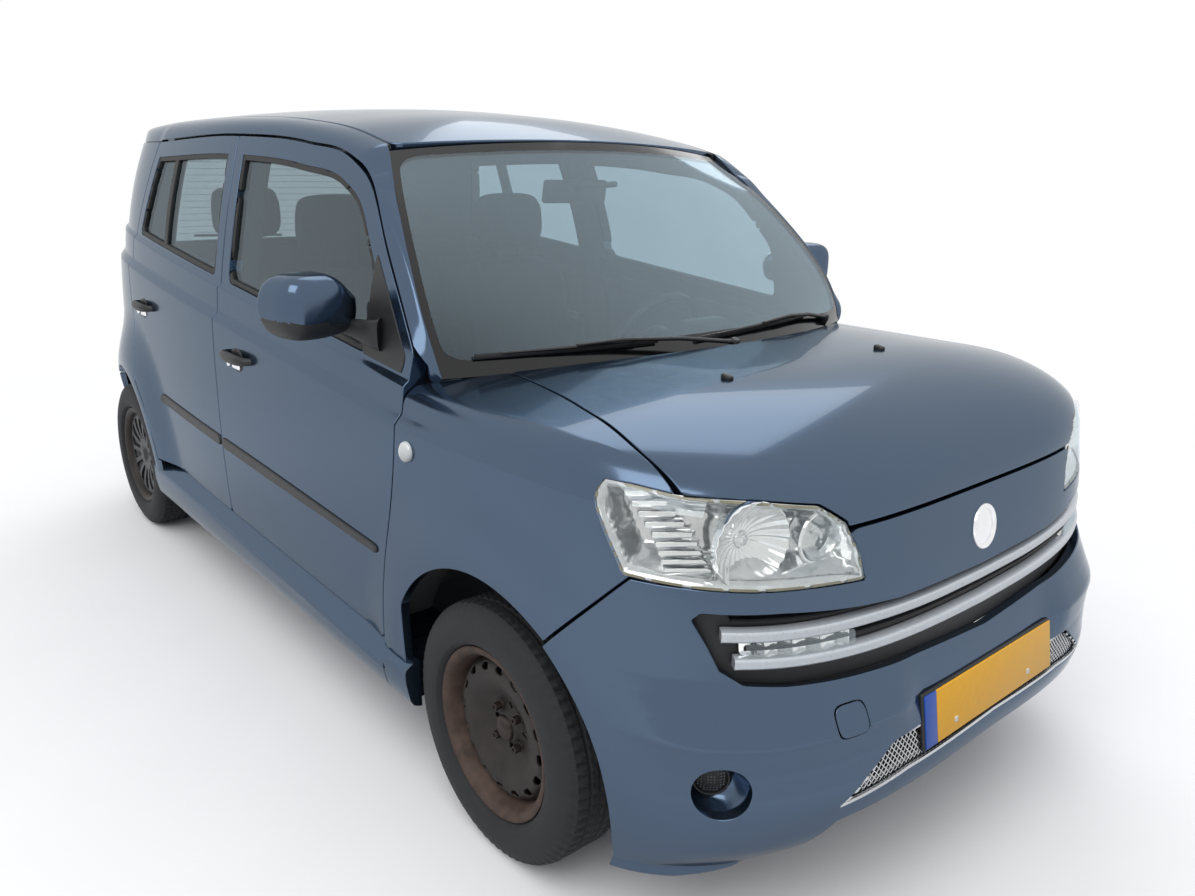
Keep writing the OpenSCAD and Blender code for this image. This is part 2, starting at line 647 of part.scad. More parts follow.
// Front bumper with its grille slot, lower intake and fog lamp recesses
bumper_low = 165;
bumper_zs = [bumper_low, 195, 225, 260, 320, 360, 420, 500, 545, 610, 690, 770, nose_h];
bumper_ts = concat(steps(-84, -40, 8), steps(-30, 30, 6), steps(40, 84, 8));
slot_top = 690;
slot_low = 561;
module slot_outline() {
    polygon([[0, slot_top], [299, 697], [413, 708], [574, 727], [690, 735], [700, 722], [683, 677],
        [669, 630], [640, 604], [579, 595], [479, 588], [277, 576], [0, slot_low]]);
}
module intake_outline() polygon([[0, 374], [310, 367], [480, 346], [352, 441], [0, 441]]);
module bumper_outline() {
    polygon([[0, 330], [340, 318], [480, 308], [530, 245], [600, 180], [700, bumper_low], [900, bumper_low],
        [900, seam_top + 6], [700, 778], [480, 761], [394, 755], [436, nose_h - shut_gap], [0, nose_h - shut_gap]]);
}
fog = [front_axle + 541, 682, 403];
fog_turn = 42;
fog_r = 54;
module fog_place() translate([fog[0], -fog[1], fog[2]]) rotate([0, 0, -fog_turn]) rotate([0, 90, 0]) children();
module front_bumper_half() {
    difference() {
        intersection() {
            front_prism(front_axle, nose + 50) bumper_outline();
            side_prism(0, 1000) polygon([[seam_rear + 6, seam_low - shut_gap], [seam_front + 4, seam_top - shut_gap],
                [seam_front + 60, nose_h], [nose + 50, nose_h], [nose + 50, 100], [front_axle, 100],
                [front_axle, seam_low - 110]]);
        }
        front_prism(front_axle, nose + 50) slot_outline();
        front_prism(front_axle, nose + 50) intake_outline();
        front_arch(arch_r);
        fog_place() translate([0, 0, -90]) cylinder(h = 200, r = fog_r, $fn = 32);
        lamp_space(seat_gap);
    }
}
module front_bumper() {
    color(paint) meshed() intersection() {
        shell(face_grid(bumper_zs, bumper_ts, 0), face_grid(bumper_zs, bumper_ts, skin_t));
        both_sides() front_bumper_half();
    }
}

// Grille: black backing behind the slot with two bars, intake screen and fog lamps
bar_h = 20;
module bar_outline(rows) {
    polygon(concat([for (r = rows) [r[0], r[1] + bar_h / 2]],
        [for (k = [len(rows) - 1:-1:0]) [rows[k][0], rows[k][1] - bar_h / 2]]));
}
slot_zs = [500, 545, 610, 690, 770];
intake_zs = [320, 360, 420, 500];
half_ts = [for (t = bumper_ts) if (t <= 0) t];
module fog_lamp() {
    difference() {
        translate([0, 0, -80]) cylinder(h = 66, r = fog_r - seat_gap, $fn = 32);
        translate([0, 0, -46]) cylinder(h = 60, r1 = 34, r2 = fog_r + 24, $fn = 32);
    }
}
module grille_half() {
    intersection() {
        union() {
            shell(face_grid(slot_zs, half_ts, skin_t + seat_gap), face_grid(slot_zs, half_ts, skin_t + 30));
            intersection() {
                shell(face_grid(slot_zs, half_ts, 4), face_grid(slot_zs, half_ts, skin_t + 10));
                front_prism(front_axle, nose + 50) {
                    bar_outline([[0, 665], [200, 668], [400, 677], [560, 684], [668, 690]]);
                    bar_outline([[0, 612], [200, 616], [400, 624], [560, 633], [650, 639]]);
                }
            }
            shell(face_grid(intake_zs, half_ts, skin_t + seat_gap), face_grid(intake_zs, half_ts, skin_t + 14));
        }
        front_prism(front_axle, nose + 50) union() {
            offset(delta = 14) slot_outline();
            offset(delta = 14) intake_outline();
            translate([0, 420]) square([20, 200]);
        }
    }
}
module grille() {
    color(black) meshed() union() {
        both_sides() grille_half();
        translate([front_x(500) - 90, -12, 420]) cube([40, 24, 160]);
        both_sides() fog_place() fog_lamp();
    }
}

// Rear bumper
rear_low = 210;
rear_zs = [rear_low, 260, 330, 430, 540, 590, gate_low];
rear_ts = concat(steps(84, 40, 8), steps(30, -30, 6), steps(-40, -84, 8));
module rear_bumper() {
    color(paint) meshed() difference() {
        intersection() {
            shell(back_grid(rear_zs, rear_ts, 0), back_grid(rear_zs, rear_ts, skin_t));
            both_sides() front_prism(tail - 50, rear_axle_x) polygon([[0, 0], [900, 0],
                [900, quarter_low - shut_gap], [gate_edge(gate_low) + shut_gap, quarter_low - shut_gap],
                [gate_edge(gate_low) + shut_gap, gate_low - shut_gap], [0, gate_low - shut_gap]]);
        }
        both_sides() arch_cut(rear_axle_x, arch_r);
        translate([rear_axle_x - 120, -far, 0]) cube([far, 2 * far, far]);
    }
}

// Tail lamps in the rear corners
lamp_low = 700;
lamp_high = 1010;
module tail_lamp_outline(extra) {
    offset(r = 20 + extra, $fn = 24) offset(delta = -20)
        polygon([[618, lamp_low], [800, lamp_low + 30], [760, lamp_high], [606, lamp_high - 20]]);
}
module tail_lamp() {
    zs = steps(lamp_low - 30, lamp_high + 30, 6);
    ts = steps(-82, -30, 10);
    intersection() {
        shell(back_grid(zs, [for (k = [len(ts) - 1:-1:0]) ts[k]], 0),
            back_grid(zs, [for (k = [len(ts) - 1:-1:0]) ts[k]], frame_t));
        front_prism(tail - 10, rear_axle_x - 250) tail_lamp_outline(0);
    }
}
module tail_lamps() color("#8c1c1c") meshed() both_sides() tail_lamp();

// Hood
function hood_column(k, inset) = concat(
    [for (f = steps(0, 0.85, 3))
        let (x = lerp(hood_rear(k * 600), dome_start, f), a = k * shut_y(x)) [x, a, hood_top(a) - inset]],
    [for (q = concat([14, 28], steps(40, 88, 5)))
        let (u = sin(q)^(2 / dome_power), x1 = dome_start + (nose_at(k * 700, nose_h) - dome_start) * u,
            a = k * shut_y(x1), x = dome_start + (nose_at(a, nose_h) - dome_start) * u)
        [x - inset * sin(q), a, nose_h + (hood_top(a) - nose_h) * cos(q)^(2 / dome_power) - inset * cos(q)]]);
function hood_grid(inset) = [for (k = steps(-1, 1, 12)) hood_column(k, inset)];
module hood() {
    color(paint) meshed() difference() {
        shell(hood_grid(0), hood_grid(top_t));
        both_sides() lamp_space(shut_gap);
        translate([front_axle, -far, nose_h - 100]) cube([far, 2 * far, 100]);
    }
}

// Tailgate and its glass
gate_t = 46;
gate_high = 1557;
hinge_x = rear_x(gate_high) + 8;
gate_window_low = 1085;
gate_window_high = 1475;
gate_window_half = 500;
function gate_top(a) = gate_high - 45 * (a / ditch_y)^2;
function gate_at(a, z, inset) = back_point(back_angle(a, z, section_y(rear_axle_x - 300, z)), z, inset)[0];
function gate_grid(inset) =
    [for (v = steps(0, 1, 11)) [for (k = steps(1, -1, 10))
        let (zm = lerp(gate_low, gate_high, v), a = k * gate_edge(zm), z = lerp(gate_low, gate_top(a), v))
        [gate_at(abs(a), z, inset), a, z]]];
module gate_window(extra) {
    offset(r = 70 + extra, $fn = 24) offset(delta = -70) polygon([[-gate_window_half, gate_window_low],
        [gate_window_half, gate_window_low], [gate_window_half - 60, gate_window_high],
        [-gate_window_half + 60, gate_window_high]]);
}
module tailgate() {
    color(paint) meshed() difference() {
        shell(gate_grid(0), gate_grid(gate_t));
        front_prism(tail - 50, rear_axle_x) gate_window(0);
        translate([rear_x(gate_high), -far, body_height - 72 - 42 - top_t]) cube([far, 2 * far, far]);
    }
}
module tailgate_glass() {
    color("#2b3136", 0.5) meshed() intersection() {
        shell(gate_grid(8), gate_grid(8 + glass_t));
        front_prism(tail - 50, rear_axle_x) gate_window(-seat_gap);
    }
}

// Floor, bulkhead, inner wings and wheel houses
rear_floor_h = 372;
step_x = rear_axle_x + 640;
bulkhead_x = a_line + 110;
inner_wing_y = 455;
house_r = arch_r + 12;
house_t = 14;
strut_top_z = 872;
// Half ring over a wheel, kept between two distances from the axle
module wheel_house(x, y0, y1, back, front, low) {
    intersection() {
        translate([x, -y0, axle_z]) rotate([90, 0, 0]) difference() {
            cylinder(h = y1 - y0, r = house_r + house_t);
            translate([0, 0, -1]) cylinder(h = y1 - y0 + 2, r = house_r);
        }
        translate([x - back, -far, low]) cube([back + front, far, far]);
    }
}
module floor_pan() {
    rail_w = 70;
    color(trim) difference() {
        union() {
            // Cabin floor, step and load floor
            translate([step_x, -sill_y + seat_gap, floor_h - floor_t])
                cube([bulkhead_x - step_x, 2 * (sill_y - seat_gap), floor_t]);
            translate([step_x - floor_t, -sill_y + seat_gap, floor_h - floor_t])
                cube([floor_t, 2 * (sill_y - seat_gap), rear_floor_h - floor_h + floor_t]);
            translate([tail + 130, -560, rear_floor_h - floor_t])
                cube([step_x - tail - 130, 1120, floor_t]);
            translate([rear_axle_x + arch_r + 40, -sill_y + seat_gap, rear_floor_h - floor_t])
                cube([step_x - rear_axle_x - arch_r - 40, 2 * (sill_y - seat_gap), floor_t]);
            // Rear panel behind the bumper
            translate([tail + 130, -520, 320]) cube([floor_t, 1040, 270]);
            // Striker that the closed tailgate meets
            meshed() intersection() {
                shell(gate_grid(gate_t + seat_gap), gate_grid(gate_t + 120));
                translate([tail, -45, gate_low + 30]) cube([200, 90, 40]);
            }
            translate([tail + 131, -45, 580]) cube([floor_t - 2, 90, gate_low - 540]);
            // Bulkhead
            translate([bulkhead_x, -sill_y + 2, floor_h - floor_t])
                cube([floor_t, 2 * (sill_y - 2), cowl_top - cowl_t - floor_h + floor_t - seat_gap]);
            // Front rails and inner wings
            for (s = [-1, 1]) {
                translate([bulkhead_x, s * 420 - rail_w / 2, 330])
                    cube([front_axle + 380 - bulkhead_x, rail_w, 90]);
                translate([bulkhead_x, s * inner_wing_y - 8, 400])
                    cube([front_axle + 330 - bulkhead_x, 16, 500]);
                translate([front_axle - 90, min(s * inner_wing_y, s * 640), strut_top_z])
                    cube([180, 640 - inner_wing_y, 24]);
                translate([bulkhead_x - 40, min(s * (sill_y - 20), s * 500), floor_h - floor_t])
                    cube([60, sill_y - 520, 400]);
            }
            both_sides() {
                wheel_house(rear_axle_x, 550, 728, 240, 345, rear_floor_h - floor_t + 4);
                intersection() {
                    translate([rear_axle_x, -545, axle_z]) rotate([90, 0, 0]) cylinder(h = 14, r = house_r + house_t);
                    translate([rear_axle_x - far / 2, -far, rear_floor_h - floor_t + 4]) cube([far, far, far]);
                }
            }
        }
        // Room for the front tyres and the steering column
        both_sides() translate([front_axle, -inner_wing_y - 30, axle_z]) rotate([90, 0, 0])
            cylinder(h = far, r = house_r);
    }
    color(trim) both_sides() difference() {
        wheel_house(front_axle, inner_wing_y - 4, 770, front_axle - bulkhead_x - 10, 290, axle_z + 150);
        on_king(king_low + 300) cylinder(h = 400, d = 190);
    }
}

// Front carrier: crash beam, cooler and lamp panel
module front_carrier() {
    carrier_x = front_axle + 380;
    color(trim) union() {
        translate([carrier_x, -430, 330]) cube([30, 860, 90]);
        for (s = [-1, 1]) translate([carrier_x, s * 400 - 30, 330]) cube([30, 60, 480]);
        translate([carrier_x, -430, 780]) cube([30, 860, 40]);
        for (s = [-1, 1]) translate([carrier_x + 30, s * 400 - 35, 450]) cube([50, 70, 90]);
        translate([carrier_x + 80, -500, 450]) cube([60, 1000, 90]);
        // Buffers under the hood
        for (s = [-1, 1]) meshed() union() {
            translate([carrier_x + 15, s * 300, 800]) cylinder(h = 100, d = 34, $fn = 16);
            intersection() {
                shell(hood_grid(top_t + seat_gap), hood_grid(top_t + 190));
                translate([carrier_x + 15, s * 300, 800]) cylinder(h = 300, d = 26, $fn = 16);
            }
        }
    }
    color("#55585c") translate([carrier_x - 2, -369, 421]) cube([34, 738, 358]);
}

// Engine and gearbox as one plain block with its half shafts
module engine() {
    color("#6f7276") union() {
        translate([bulkhead_x + 120, -330, 250]) cube([420, 660, 520]);
        translate([bulkhead_x + 200, -240, 770]) cube([260, 480, 120]);
        for (s = [-1, 1]) {
            translate([front_axle, s * 320, axle_z]) rotate([-90 * s, 0, 0]) cylinder(h = 175, d = 30);
            translate([front_axle, s * 480, axle_z]) rotate([-90 * s, 0, 0]) cylinder(h = 60, d1 = 70, d2 = 84);
        }
        translate([bulkhead_x + 250, -384, 340]) cube([120, 768, 60]);
    }
}

// Steering axis of a front wheel: low joint and direction
king_low = 205;
king_y = wheel_y - 75;
function king_at(z) = king_y - (z - king_low) * tan(steer_lean);
module on_king(z) translate([front_axle, -king_at(z), z]) rotate([-steer_lean, 0, 0]) children();

// Subframe with the lower arms and the steering rack
module front_subframe() {
    arm_z = king_low - 50;
    $fn = 20;
    color(trim) meshed() union() {
        translate([front_axle - 150, -380, 190]) cube([170, 760, 50]);
        for (s = [-1, 1]) {
            translate([front_axle - 150, s * 385 - 35, arm_z]) cube([330, 70, 250 - arm_z]);
            translate([front_axle - 150, s * 420 - 25, 200]) cube([60, 50, 130]);
            translate([front_axle + 120, s * 420 - 25, 200]) cube([60, 50, 130]);
        }
        both_sides() {
            hull() {
                translate([front_axle, -king_at(arm_z), arm_z]) cylinder(h = 26, d = 64);
                translate([front_axle - 120, -400, arm_z]) cylinder(h = 26, d = 60);
            }
            hull() {
                translate([front_axle, -king_at(arm_z), arm_z]) cylinder(h = 26, d = 64);
                translate([front_axle + 120, -400, arm_z]) cylinder(h = 26, d = 60);
            }
        }
        translate([front_axle - 136, -400, 262]) rotate([-90, 0, 0]) cylinder(h = 800, d = 44);
        for (s = [-1, 1]) translate([front_axle - 149, s * 250 - 30, 235]) cube([30, 60, 30]);
    }
}

// Knuckle with hub bearing, steering arm, brake and strut, turned about the steering axis
hub_face = wheel_y - 46;
module knuckle_right_solid() {
    color("#4b4d50") union() {
        translate([front_axle, -(wheel_y - 92), axle_z]) rotate([90, 0, 0]) cylinder(h = 40, d = 118);
        translate([front_axle, -(wheel_y - 60), axle_z]) rotate([90, 0, 0]) cylinder(h = 62, d = axle_d);
        on_king(king_low - 19.2) cylinder(h = 421.2, d = 52);
        on_king(king_low + 380) cylinder(h = 16, d = 150);
        on_king(king_low + 390) cylinder(h = 255, d = 104);
        on_king(king_low + 380) cylinder(h = (strut_top_z - seat_gap - king_low - 380) / cos(steer_lean) - 9, d = 34);
        translate([front_axle - 96, -(wheel_y - 78), axle_z - 52]) cube([96, 26, 40]);
        translate([front_axle + 60, -(wheel_y - 62), axle_z - 60]) cube([50, 34, 120]);
        translate([front_axle + 30, -(wheel_y - 92), axle_z - 30]) cube([60, 30, 60]);
    }
}

// Rear axle: torsion beam, trailing arms, springs, dampers and stub axles
module rear_axle() {
    arm_y = 575;
    color(trim) union() {
        translate([rear_axle_x + 170, -arm_y, 262]) rotate([-90, 0, 0]) cylinder(h = 2 * arm_y, d = 76);
        for (s = [-1, 1]) {
            translate([rear_axle_x - 60, s * arm_y - 26, 235]) cube([430, 52, 70]);
            translate([rear_axle_x + 370, s * arm_y - 45, 270]) rotate([-90, 0, 0]) cylinder(h = 90, d = 80);
            translate([rear_axle_x + 350, s * arm_y - 30, 280]) cube([40, 60, rear_floor_h - floor_t - 280 - seat_gap]);
            translate([rear_axle_x, s * (arm_y - 10), axle_z]) rotate([-90 * s, 0, 0]) cylinder(h = 50, d = 110);
            translate([rear_axle_x, s * (arm_y + 30), axle_z]) rotate([-90 * s, 0, 0])
                cylinder(h = wheel_y - 92 - arm_y - 30 + 40, d = 90);
            translate([rear_axle_x, s * (wheel_y - 60), axle_z]) rotate([-90 * s, 0, 0]) cylinder(h = 62, d = axle_d);
            translate([rear_axle_x + 110, s * 500, 240]) cylinder(h = rear_floor_h - floor_t - 240 - seat_gap, d = 104);
            translate([rear_axle_x + 90, s * 530 - 55, 236]) cube([60, 110, 30]);
            translate([rear_axle_x - 40, s * 518, 250]) cylinder(h = rear_floor_h - floor_t - 250 - seat_gap, d = 50);
            translate([rear_axle_x - 58, s * 540 - 24, 245]) cube([36, 48, 40]);
        }
    }
}

// Exhaust and fuel tank under the floor
module exhaust() {
    pipe_y = 130;
    pipe_z = 158;
    pipe_d = 46;
    bend = rear_axle_x + 330;
    box_x = rear_axle_x - 140;
    down_x = front_axle + 60;
    $fn = 20;
    color("#7a7570") meshed() union() {
        translate([bend, pipe_y, pipe_z]) rotate([0, 90, 0]) cylinder(h = down_x - bend, d = pipe_d);
        translate([down_x, pipe_y, pipe_z - 22]) cylinder(h = 250 - pipe_z + 22 - seat_gap, d = 58);
        translate([-260, pipe_y, pipe_z]) rotate([0, 90, 0]) cylinder(h = 320, d = 84);
        translate([bend, pipe_y, pipe_z]) sphere(d = pipe_d + 2);
        rod([bend, pipe_y, pipe_z], [box_x - 20, pipe_y, pipe_z + 30], pipe_d - 2);
        translate([tail + 170, pipe_y - 10, pipe_z + 62]) rotate([0, 90, 0])
            cylinder(h = box_x - tail - 170, d = 150);
        translate([tail + 60, pipe_y - 40, pipe_z + 20]) rotate([0, 90, 0]) cylinder(h = 130, d = pipe_d);
        translate([-100, pipe_y - 10, pipe_z + 20]) cube([30, 20, floor_h - floor_t - pipe_z - 20 - seat_gap]);
        translate([tail + 260, pipe_y - 20, pipe_z + 120])
            cube([30, 20, rear_floor_h - floor_t - pipe_z - 120 - seat_gap]);
    }
}
module fuel_tank() {
    color(black) translate([step_x - floor_t - 370, -470, 225])
        cube([360, 540, rear_floor_h - floor_t - 225 - seat_gap]);
}

// Dashboard with the column shroud
wheel_pos = [a_line - 400, 350, 905];
column_len = 230;
module on_column() translate(wheel_pos) rotate([0, 90 + column_rake, 0]) children();
shaft_d = 38;
module dashboard() {
    dash_half = 632;
    x0 = a_line;
    color(trim) difference() {
        union() {
            translate([0, dash_half, 0]) rotate([90, 0, 0]) linear_extrude(2 * dash_half) polygon([
                [x0 + 105, 952], [x0 + 20, 966], [x0 - 130, 960], [x0 - 215, 930], [x0 - 240, 880],
                [x0 - 215, 800], [x0 - 190, 720], [x0 - 60, 650], [x0 + 40, 640], [x0 + 105, 700]]);
            translate([x0 - 180, -120, floor_h + seat_gap]) cube([200, 240, 420]);
            on_column() translate([0, 0, 70]) cylinder(h = 160, d = 92);
        }
        on_column() cylinder(h = column_len + 10, d = shaft_d + 2 * run_gap);
    }
}
module steering_wheel() {
    color(black) on_column() union() {
        rotate_extrude($fn = 64) translate([steering_d / 2, 0]) circle(d = 30, $fn = 24);
        translate([0, 0, -28]) cylinder(h = 56, d = 130);
        for (q = [0, 180, 270]) rotate([0, 0, q + 90]) translate([0, -20, -8]) cube([steering_d / 2, 40, 16]);
        cylinder(h = column_len, d = shaft_d);
    }
}

// Seats
module seat_profile(cushion) {
    polygon([[0, 400], [cushion, 420], [cushion + 30, 500], [cushion, 560], [60, 545], [-20, 560],
        [-130, 980], [-150, 1110], [-200, 1120], [-230, 1080], [-200, 900], [-130, 480], [-60, 400]]);
}
module head_rest(w) {
    translate([0, w / 2, 0]) rotate([90, 0, 0]) linear_extrude(w) offset(r = 30, $fn = 24)
        polygon([[-175, 1180], [-155, 1185], [-175, 1320], [-205, 1318], [-212, 1190]]);
    for (s = [-1, 1]) translate([-178, s * 50, 1090]) cylinder(h = 100, d = 14);
}
module seat(w, cushion, lift, head_ys, head_w) {
    translate([0, w / 2, 0]) rotate([90, 0, 0]) linear_extrude(w) seat_profile(cushion);
    for (y = head_ys) translate([0, y, 0]) head_rest(head_w);
    translate([-20, -w / 2 + 30, lift + seat_gap]) cube([cushion - 20, w - 60, 415 - lift - seat_gap]);
}
module front_seats() {
    color(black) for (s = [-1, 1]) translate([a_line - 1040, s * seat_pitch / 2, 0])
        seat(seat_w, 470, floor_h, [0], 260);
}
module rear_seat() {
    color(black) translate([rear_axle_x + 300, 0, 0])
        seat(1060, 420, rear_floor_h, [-330, 330], 250);
}

// Door mirrors
mirror_pos = [a_line - 195, 905, 1160];
module mirror_right_solid() {
    x = mirror_pos[0];
    y = -mirror_pos[1];
    z = mirror_pos[2];
    base_y = side_y(x + 60, 1100) - 6;
    color(paint) meshed() difference() {
        union() {
            translate([x, y, z]) rotate([0, 0, 12]) hull() for (dy = [-50, 45], dz = [-42, 38]) {
                translate([0, dy, dz]) sphere(d = 74, $fn = 14);
                translate([-40, dy * 0.9, dz]) sphere(d = 60, $fn = 10);
            }
            hull() {
                translate([x + 25, y + 40, z - 62]) sphere(d = 44, $fn = 12);
                translate([x + 70, -base_y - 10, z - 68]) sphere(d = 44, $fn = 12);
            }
        }
        shell(side_grid(b_line - 70, a_line + 10, 9, -0.008), side_grid(b_line - 70, a_line + 10, 9, 1));
    }
}

// Tyres and rims, drawn about the Y axis
module at_wheel(x, s) translate([x, s * wheel_y, axle_z]) rotate([-90 * s, 0, 0]) children();
bead_r = rim_d / 2 - 14;
rim_half = tyre_w / 2 - 22;
module tyre(x, s) {
    r = tyre_d / 2;
    w = tyre_w / 2;
    color(black) at_wheel(x, s) rotate_extrude($fn = 96) polygon([
        [bead_r + seat_gap, -rim_half + 1], [rim_d / 2 + 2 * seat_gap, -rim_half - 2],
        [rim_d / 2 + 6, -w + 8], [r - 62, -w], [r - 34, -w + 3], [r - 10, -w + 14],
        [r, -w + 34], [r, w - 34], [r - 10, w - 14], [r - 34, w - 3], [r - 62, w],
        [rim_d / 2 + 6, w - 8], [rim_d / 2 + 2 * seat_gap, rim_half + 2], [bead_r + seat_gap, rim_half - 1]]);
}
disc_z = 36;
module rim_body(x, s, holes) {
    w = rim_half;
    lip = rim_d / 2;
    color("#2a2624") at_wheel(x, s) difference() {
        union() {
            rotate_extrude($fn = 96) polygon([
                [bead_r - 8, -w - 10], [lip, -w - 10], [lip, -w - 3], [bead_r, -w], [bead_r, w], [lip, w + 3],
                [lip, w + 10], [bead_r - 8, w + 10], [bead_r - 8, w - 6], [bead_r - 22, 20], [bead_r - 26, -w + 6]]);
            rotate_extrude($fn = 96) polygon([
                [axle_d / 2 + run_gap, -20], [70, -20], [75, 8], [110, disc_z], [140, disc_z + 4],
                [bead_r - 14, 14], [bead_r - 14, 26], [146, disc_z + 14], [108, disc_z + 12], [62, 22], [44, 20],
                [34, disc_z], [axle_d / 2 + run_gap, disc_z]]);
        }
        for (k = [0:holes - 1]) rotate([0, 0, k * 360 / holes]) translate([143, 0, -20]) cylinder(h = 100, d = 22);
        for (k = [0:3]) rotate([0, 0, k * 90 + 45]) translate([bolt_circle / 2, 0, -60]) cylinder(h = 120, d = 14);
    }
}
module trim_spokes(x, s) {
    color("#1d1e20") at_wheel(x, s) difference() {
        translate([0, 0, disc_z + 15]) cylinder(h = 12, r = bead_r - 10);
        for (k = [0:19]) rotate([0, 0, k * 18]) translate([78, -9, disc_z]) cube([90, 18, 60]);
        translate([0, 0, disc_z]) cylinder(h = 60, r = 30);
    }
}

module tyre_front_left() tyre(front_axle, 1);
module tyre_front_right() tyre(front_axle, -1);
module tyre_rear_left() tyre(rear_axle_x, 1);
module tyre_rear_right() tyre(rear_axle_x, -1);
module rim_front_left() rim_body(front_axle, 1, 16);
module rim_front_right() rim_body(front_axle, -1, 16);
module rim_rear_left() {
    rim_body(rear_axle_x, 1, 16);
    trim_spokes(rear_axle_x, 1);
}
module rim_rear_right() {
    rim_body(rear_axle_x, -1, 16);
    trim_spokes(rear_axle_x, -1);
}
module door_front_right() door_front_right_solid();
module door_front_left() on_left() door_front_right_solid();
module door_rear_right() door_rear_right_solid();
module door_rear_left() on_left() door_rear_right_solid();
module glass_front_right() glass_front_right_solid();
module glass_front_left() on_left() glass_front_right_solid();
module glass_rear_right() glass_rear_right_solid();
module glass_rear_left() on_left() glass_rear_right_solid();
module body_side_right() body_side_right_solid();
module body_side_left() on_left() body_side_right_solid();
module mirror_right() mirror_right_solid();
module mirror_left() on_left() mirror_right_solid();
module knuckle_right() knuckle_right_solid();
module knuckle_left() on_left() knuckle_right_solid();

floor_pan();
body_side_left();
body_side_right();
roof_panel();
windscreen();
cowl_panel();
fenders();
front_bumper();
grille();
headlamps();
rear_bumper();
tail_lamps();
front_carrier();
engine();
front_subframe();
rear_axle();
exhaust();
fuel_tank();
dashboard();
front_seats();
rear_seat();
steering_wheel();
hood();
tailgate();
tailgate_glass();
door_front_left();
door_front_right();
door_rear_left();
door_rear_right();
glass_front_left();
glass_front_right();
glass_rear_left();
glass_rear_right();
mirror_left();
mirror_right();
knuckle_left();
knuckle_right();
tyre_front_left();
tyre_front_right();
tyre_rear_left();
tyre_rear_right();
rim_front_left();
rim_front_right();
rim_rear_left();
rim_rear_right();
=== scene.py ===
"""Looks of the compact minivan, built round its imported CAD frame. Lengths in the shape code are millimetres."""
import math

import bmesh
import bpy
import numpy as np
from mathutils import Matrix, Vector


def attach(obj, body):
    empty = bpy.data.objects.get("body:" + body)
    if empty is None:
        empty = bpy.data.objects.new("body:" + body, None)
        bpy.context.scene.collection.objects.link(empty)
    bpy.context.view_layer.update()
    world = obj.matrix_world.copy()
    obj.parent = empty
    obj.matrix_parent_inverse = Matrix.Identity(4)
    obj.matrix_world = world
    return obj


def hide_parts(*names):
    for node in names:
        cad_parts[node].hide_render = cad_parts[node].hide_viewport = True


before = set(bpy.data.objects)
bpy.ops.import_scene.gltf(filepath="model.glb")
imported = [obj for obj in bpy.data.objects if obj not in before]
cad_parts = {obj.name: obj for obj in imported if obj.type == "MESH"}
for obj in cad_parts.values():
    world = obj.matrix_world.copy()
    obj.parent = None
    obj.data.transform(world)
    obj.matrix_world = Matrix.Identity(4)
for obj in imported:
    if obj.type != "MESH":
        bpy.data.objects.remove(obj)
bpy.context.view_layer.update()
MM = 0.001

# Main stations, as in the part's source
HALF_W = 845.0
NOSE = 1900.0
TAIL = -1900.0
FRONT_AXLE = 1200.0
REAR_AXLE = -1340.0
AXLE_Z = 291.5
WHEEL_Y = 737.5
ARCH_R = 372.0
A_LINE = 860.0
B_LINE = -280.0
DOOR_TOP = 1530.0
DOOR_CORNER = 1062.0
NOSE_H = 858.0
REAR_START = -900.0
REAR_POWER = 4.5
FRONT_POWER = 3.5
DOME_START = 1330.0
DOME_POWER = 2.3
SHUT_GAP = 4.5
LIP_R = 415.0
DITCH_Y = 594.0
GATE_LOW = 640.0
QUARTER_LOW = 600.0
GATE_HIGH = 1557.0
FAR = 500.0

# Crease, window ledge and section of the body side
CREASE_H = 918
CREASE_RISE = 0.074
CREASE_STEP = 18
CREASE_SOFT = 24
BELT_H = 1068
BELT_RISE = 0.085
BELT_STEP = 12
BELT_SOFT = 12
NO_BELT = 5000.0
SIDE_INSET = 17
BELLY_Z = 620
TUCK_LOW = 12
TUCK_LOW_REACH = 320
TUCK_HIGH = 8
TUCK_HIGH_REACH = 330
LEAN_DOOR = 0.1
LEAN_WING = 0.28
WINDOW_LEAN = 0.26
WINDOW_CROWN = 40
TAPER_REAR = 40
TAPER_REAR_REACH = 1200
TAPER_FRONT = 6
TAPER_FRONT_REACH = 340
FLARE_FRONT = 16
FLARE_FRONT_REACH = 190
FLARE_REAR = 44
FLARE_REAR_REACH = 230
DOOR_BOTTOM_H = 362
SILL_RISE = 0.025

# Hood, roof and windscreen
HOOD_H = 1042
HOOD_CROWN = 55
HOOD_HALF = 780
HOOD_REAR_MID = 1118
HOOD_SWEEP = 205
HOOD_SWEEP_HALF = 690
HOOD_SWEEP_POWER = 2.4
ROOF_H = 1635
ROOF_CROWN = 45
SCREEN_LOW_HALF = 712
SCREEN_TOP_HALF = 594
SCREEN_EDGE_TOP_X = 462
SCREEN_EDGE_BULGE = 36
SCREEN_EDGE_OUT = 1.16
SCREEN_LOW_Z = 1007
SCREEN_TOP_Z = 1490
SCREEN_MID_X = 1056
SCREEN_MID_TOP_X = 548
SCREEN_MID_BULGE = 40
SCREEN_MID_Z = 1022
SCREEN_NORMAL = (0.73, 0.68)

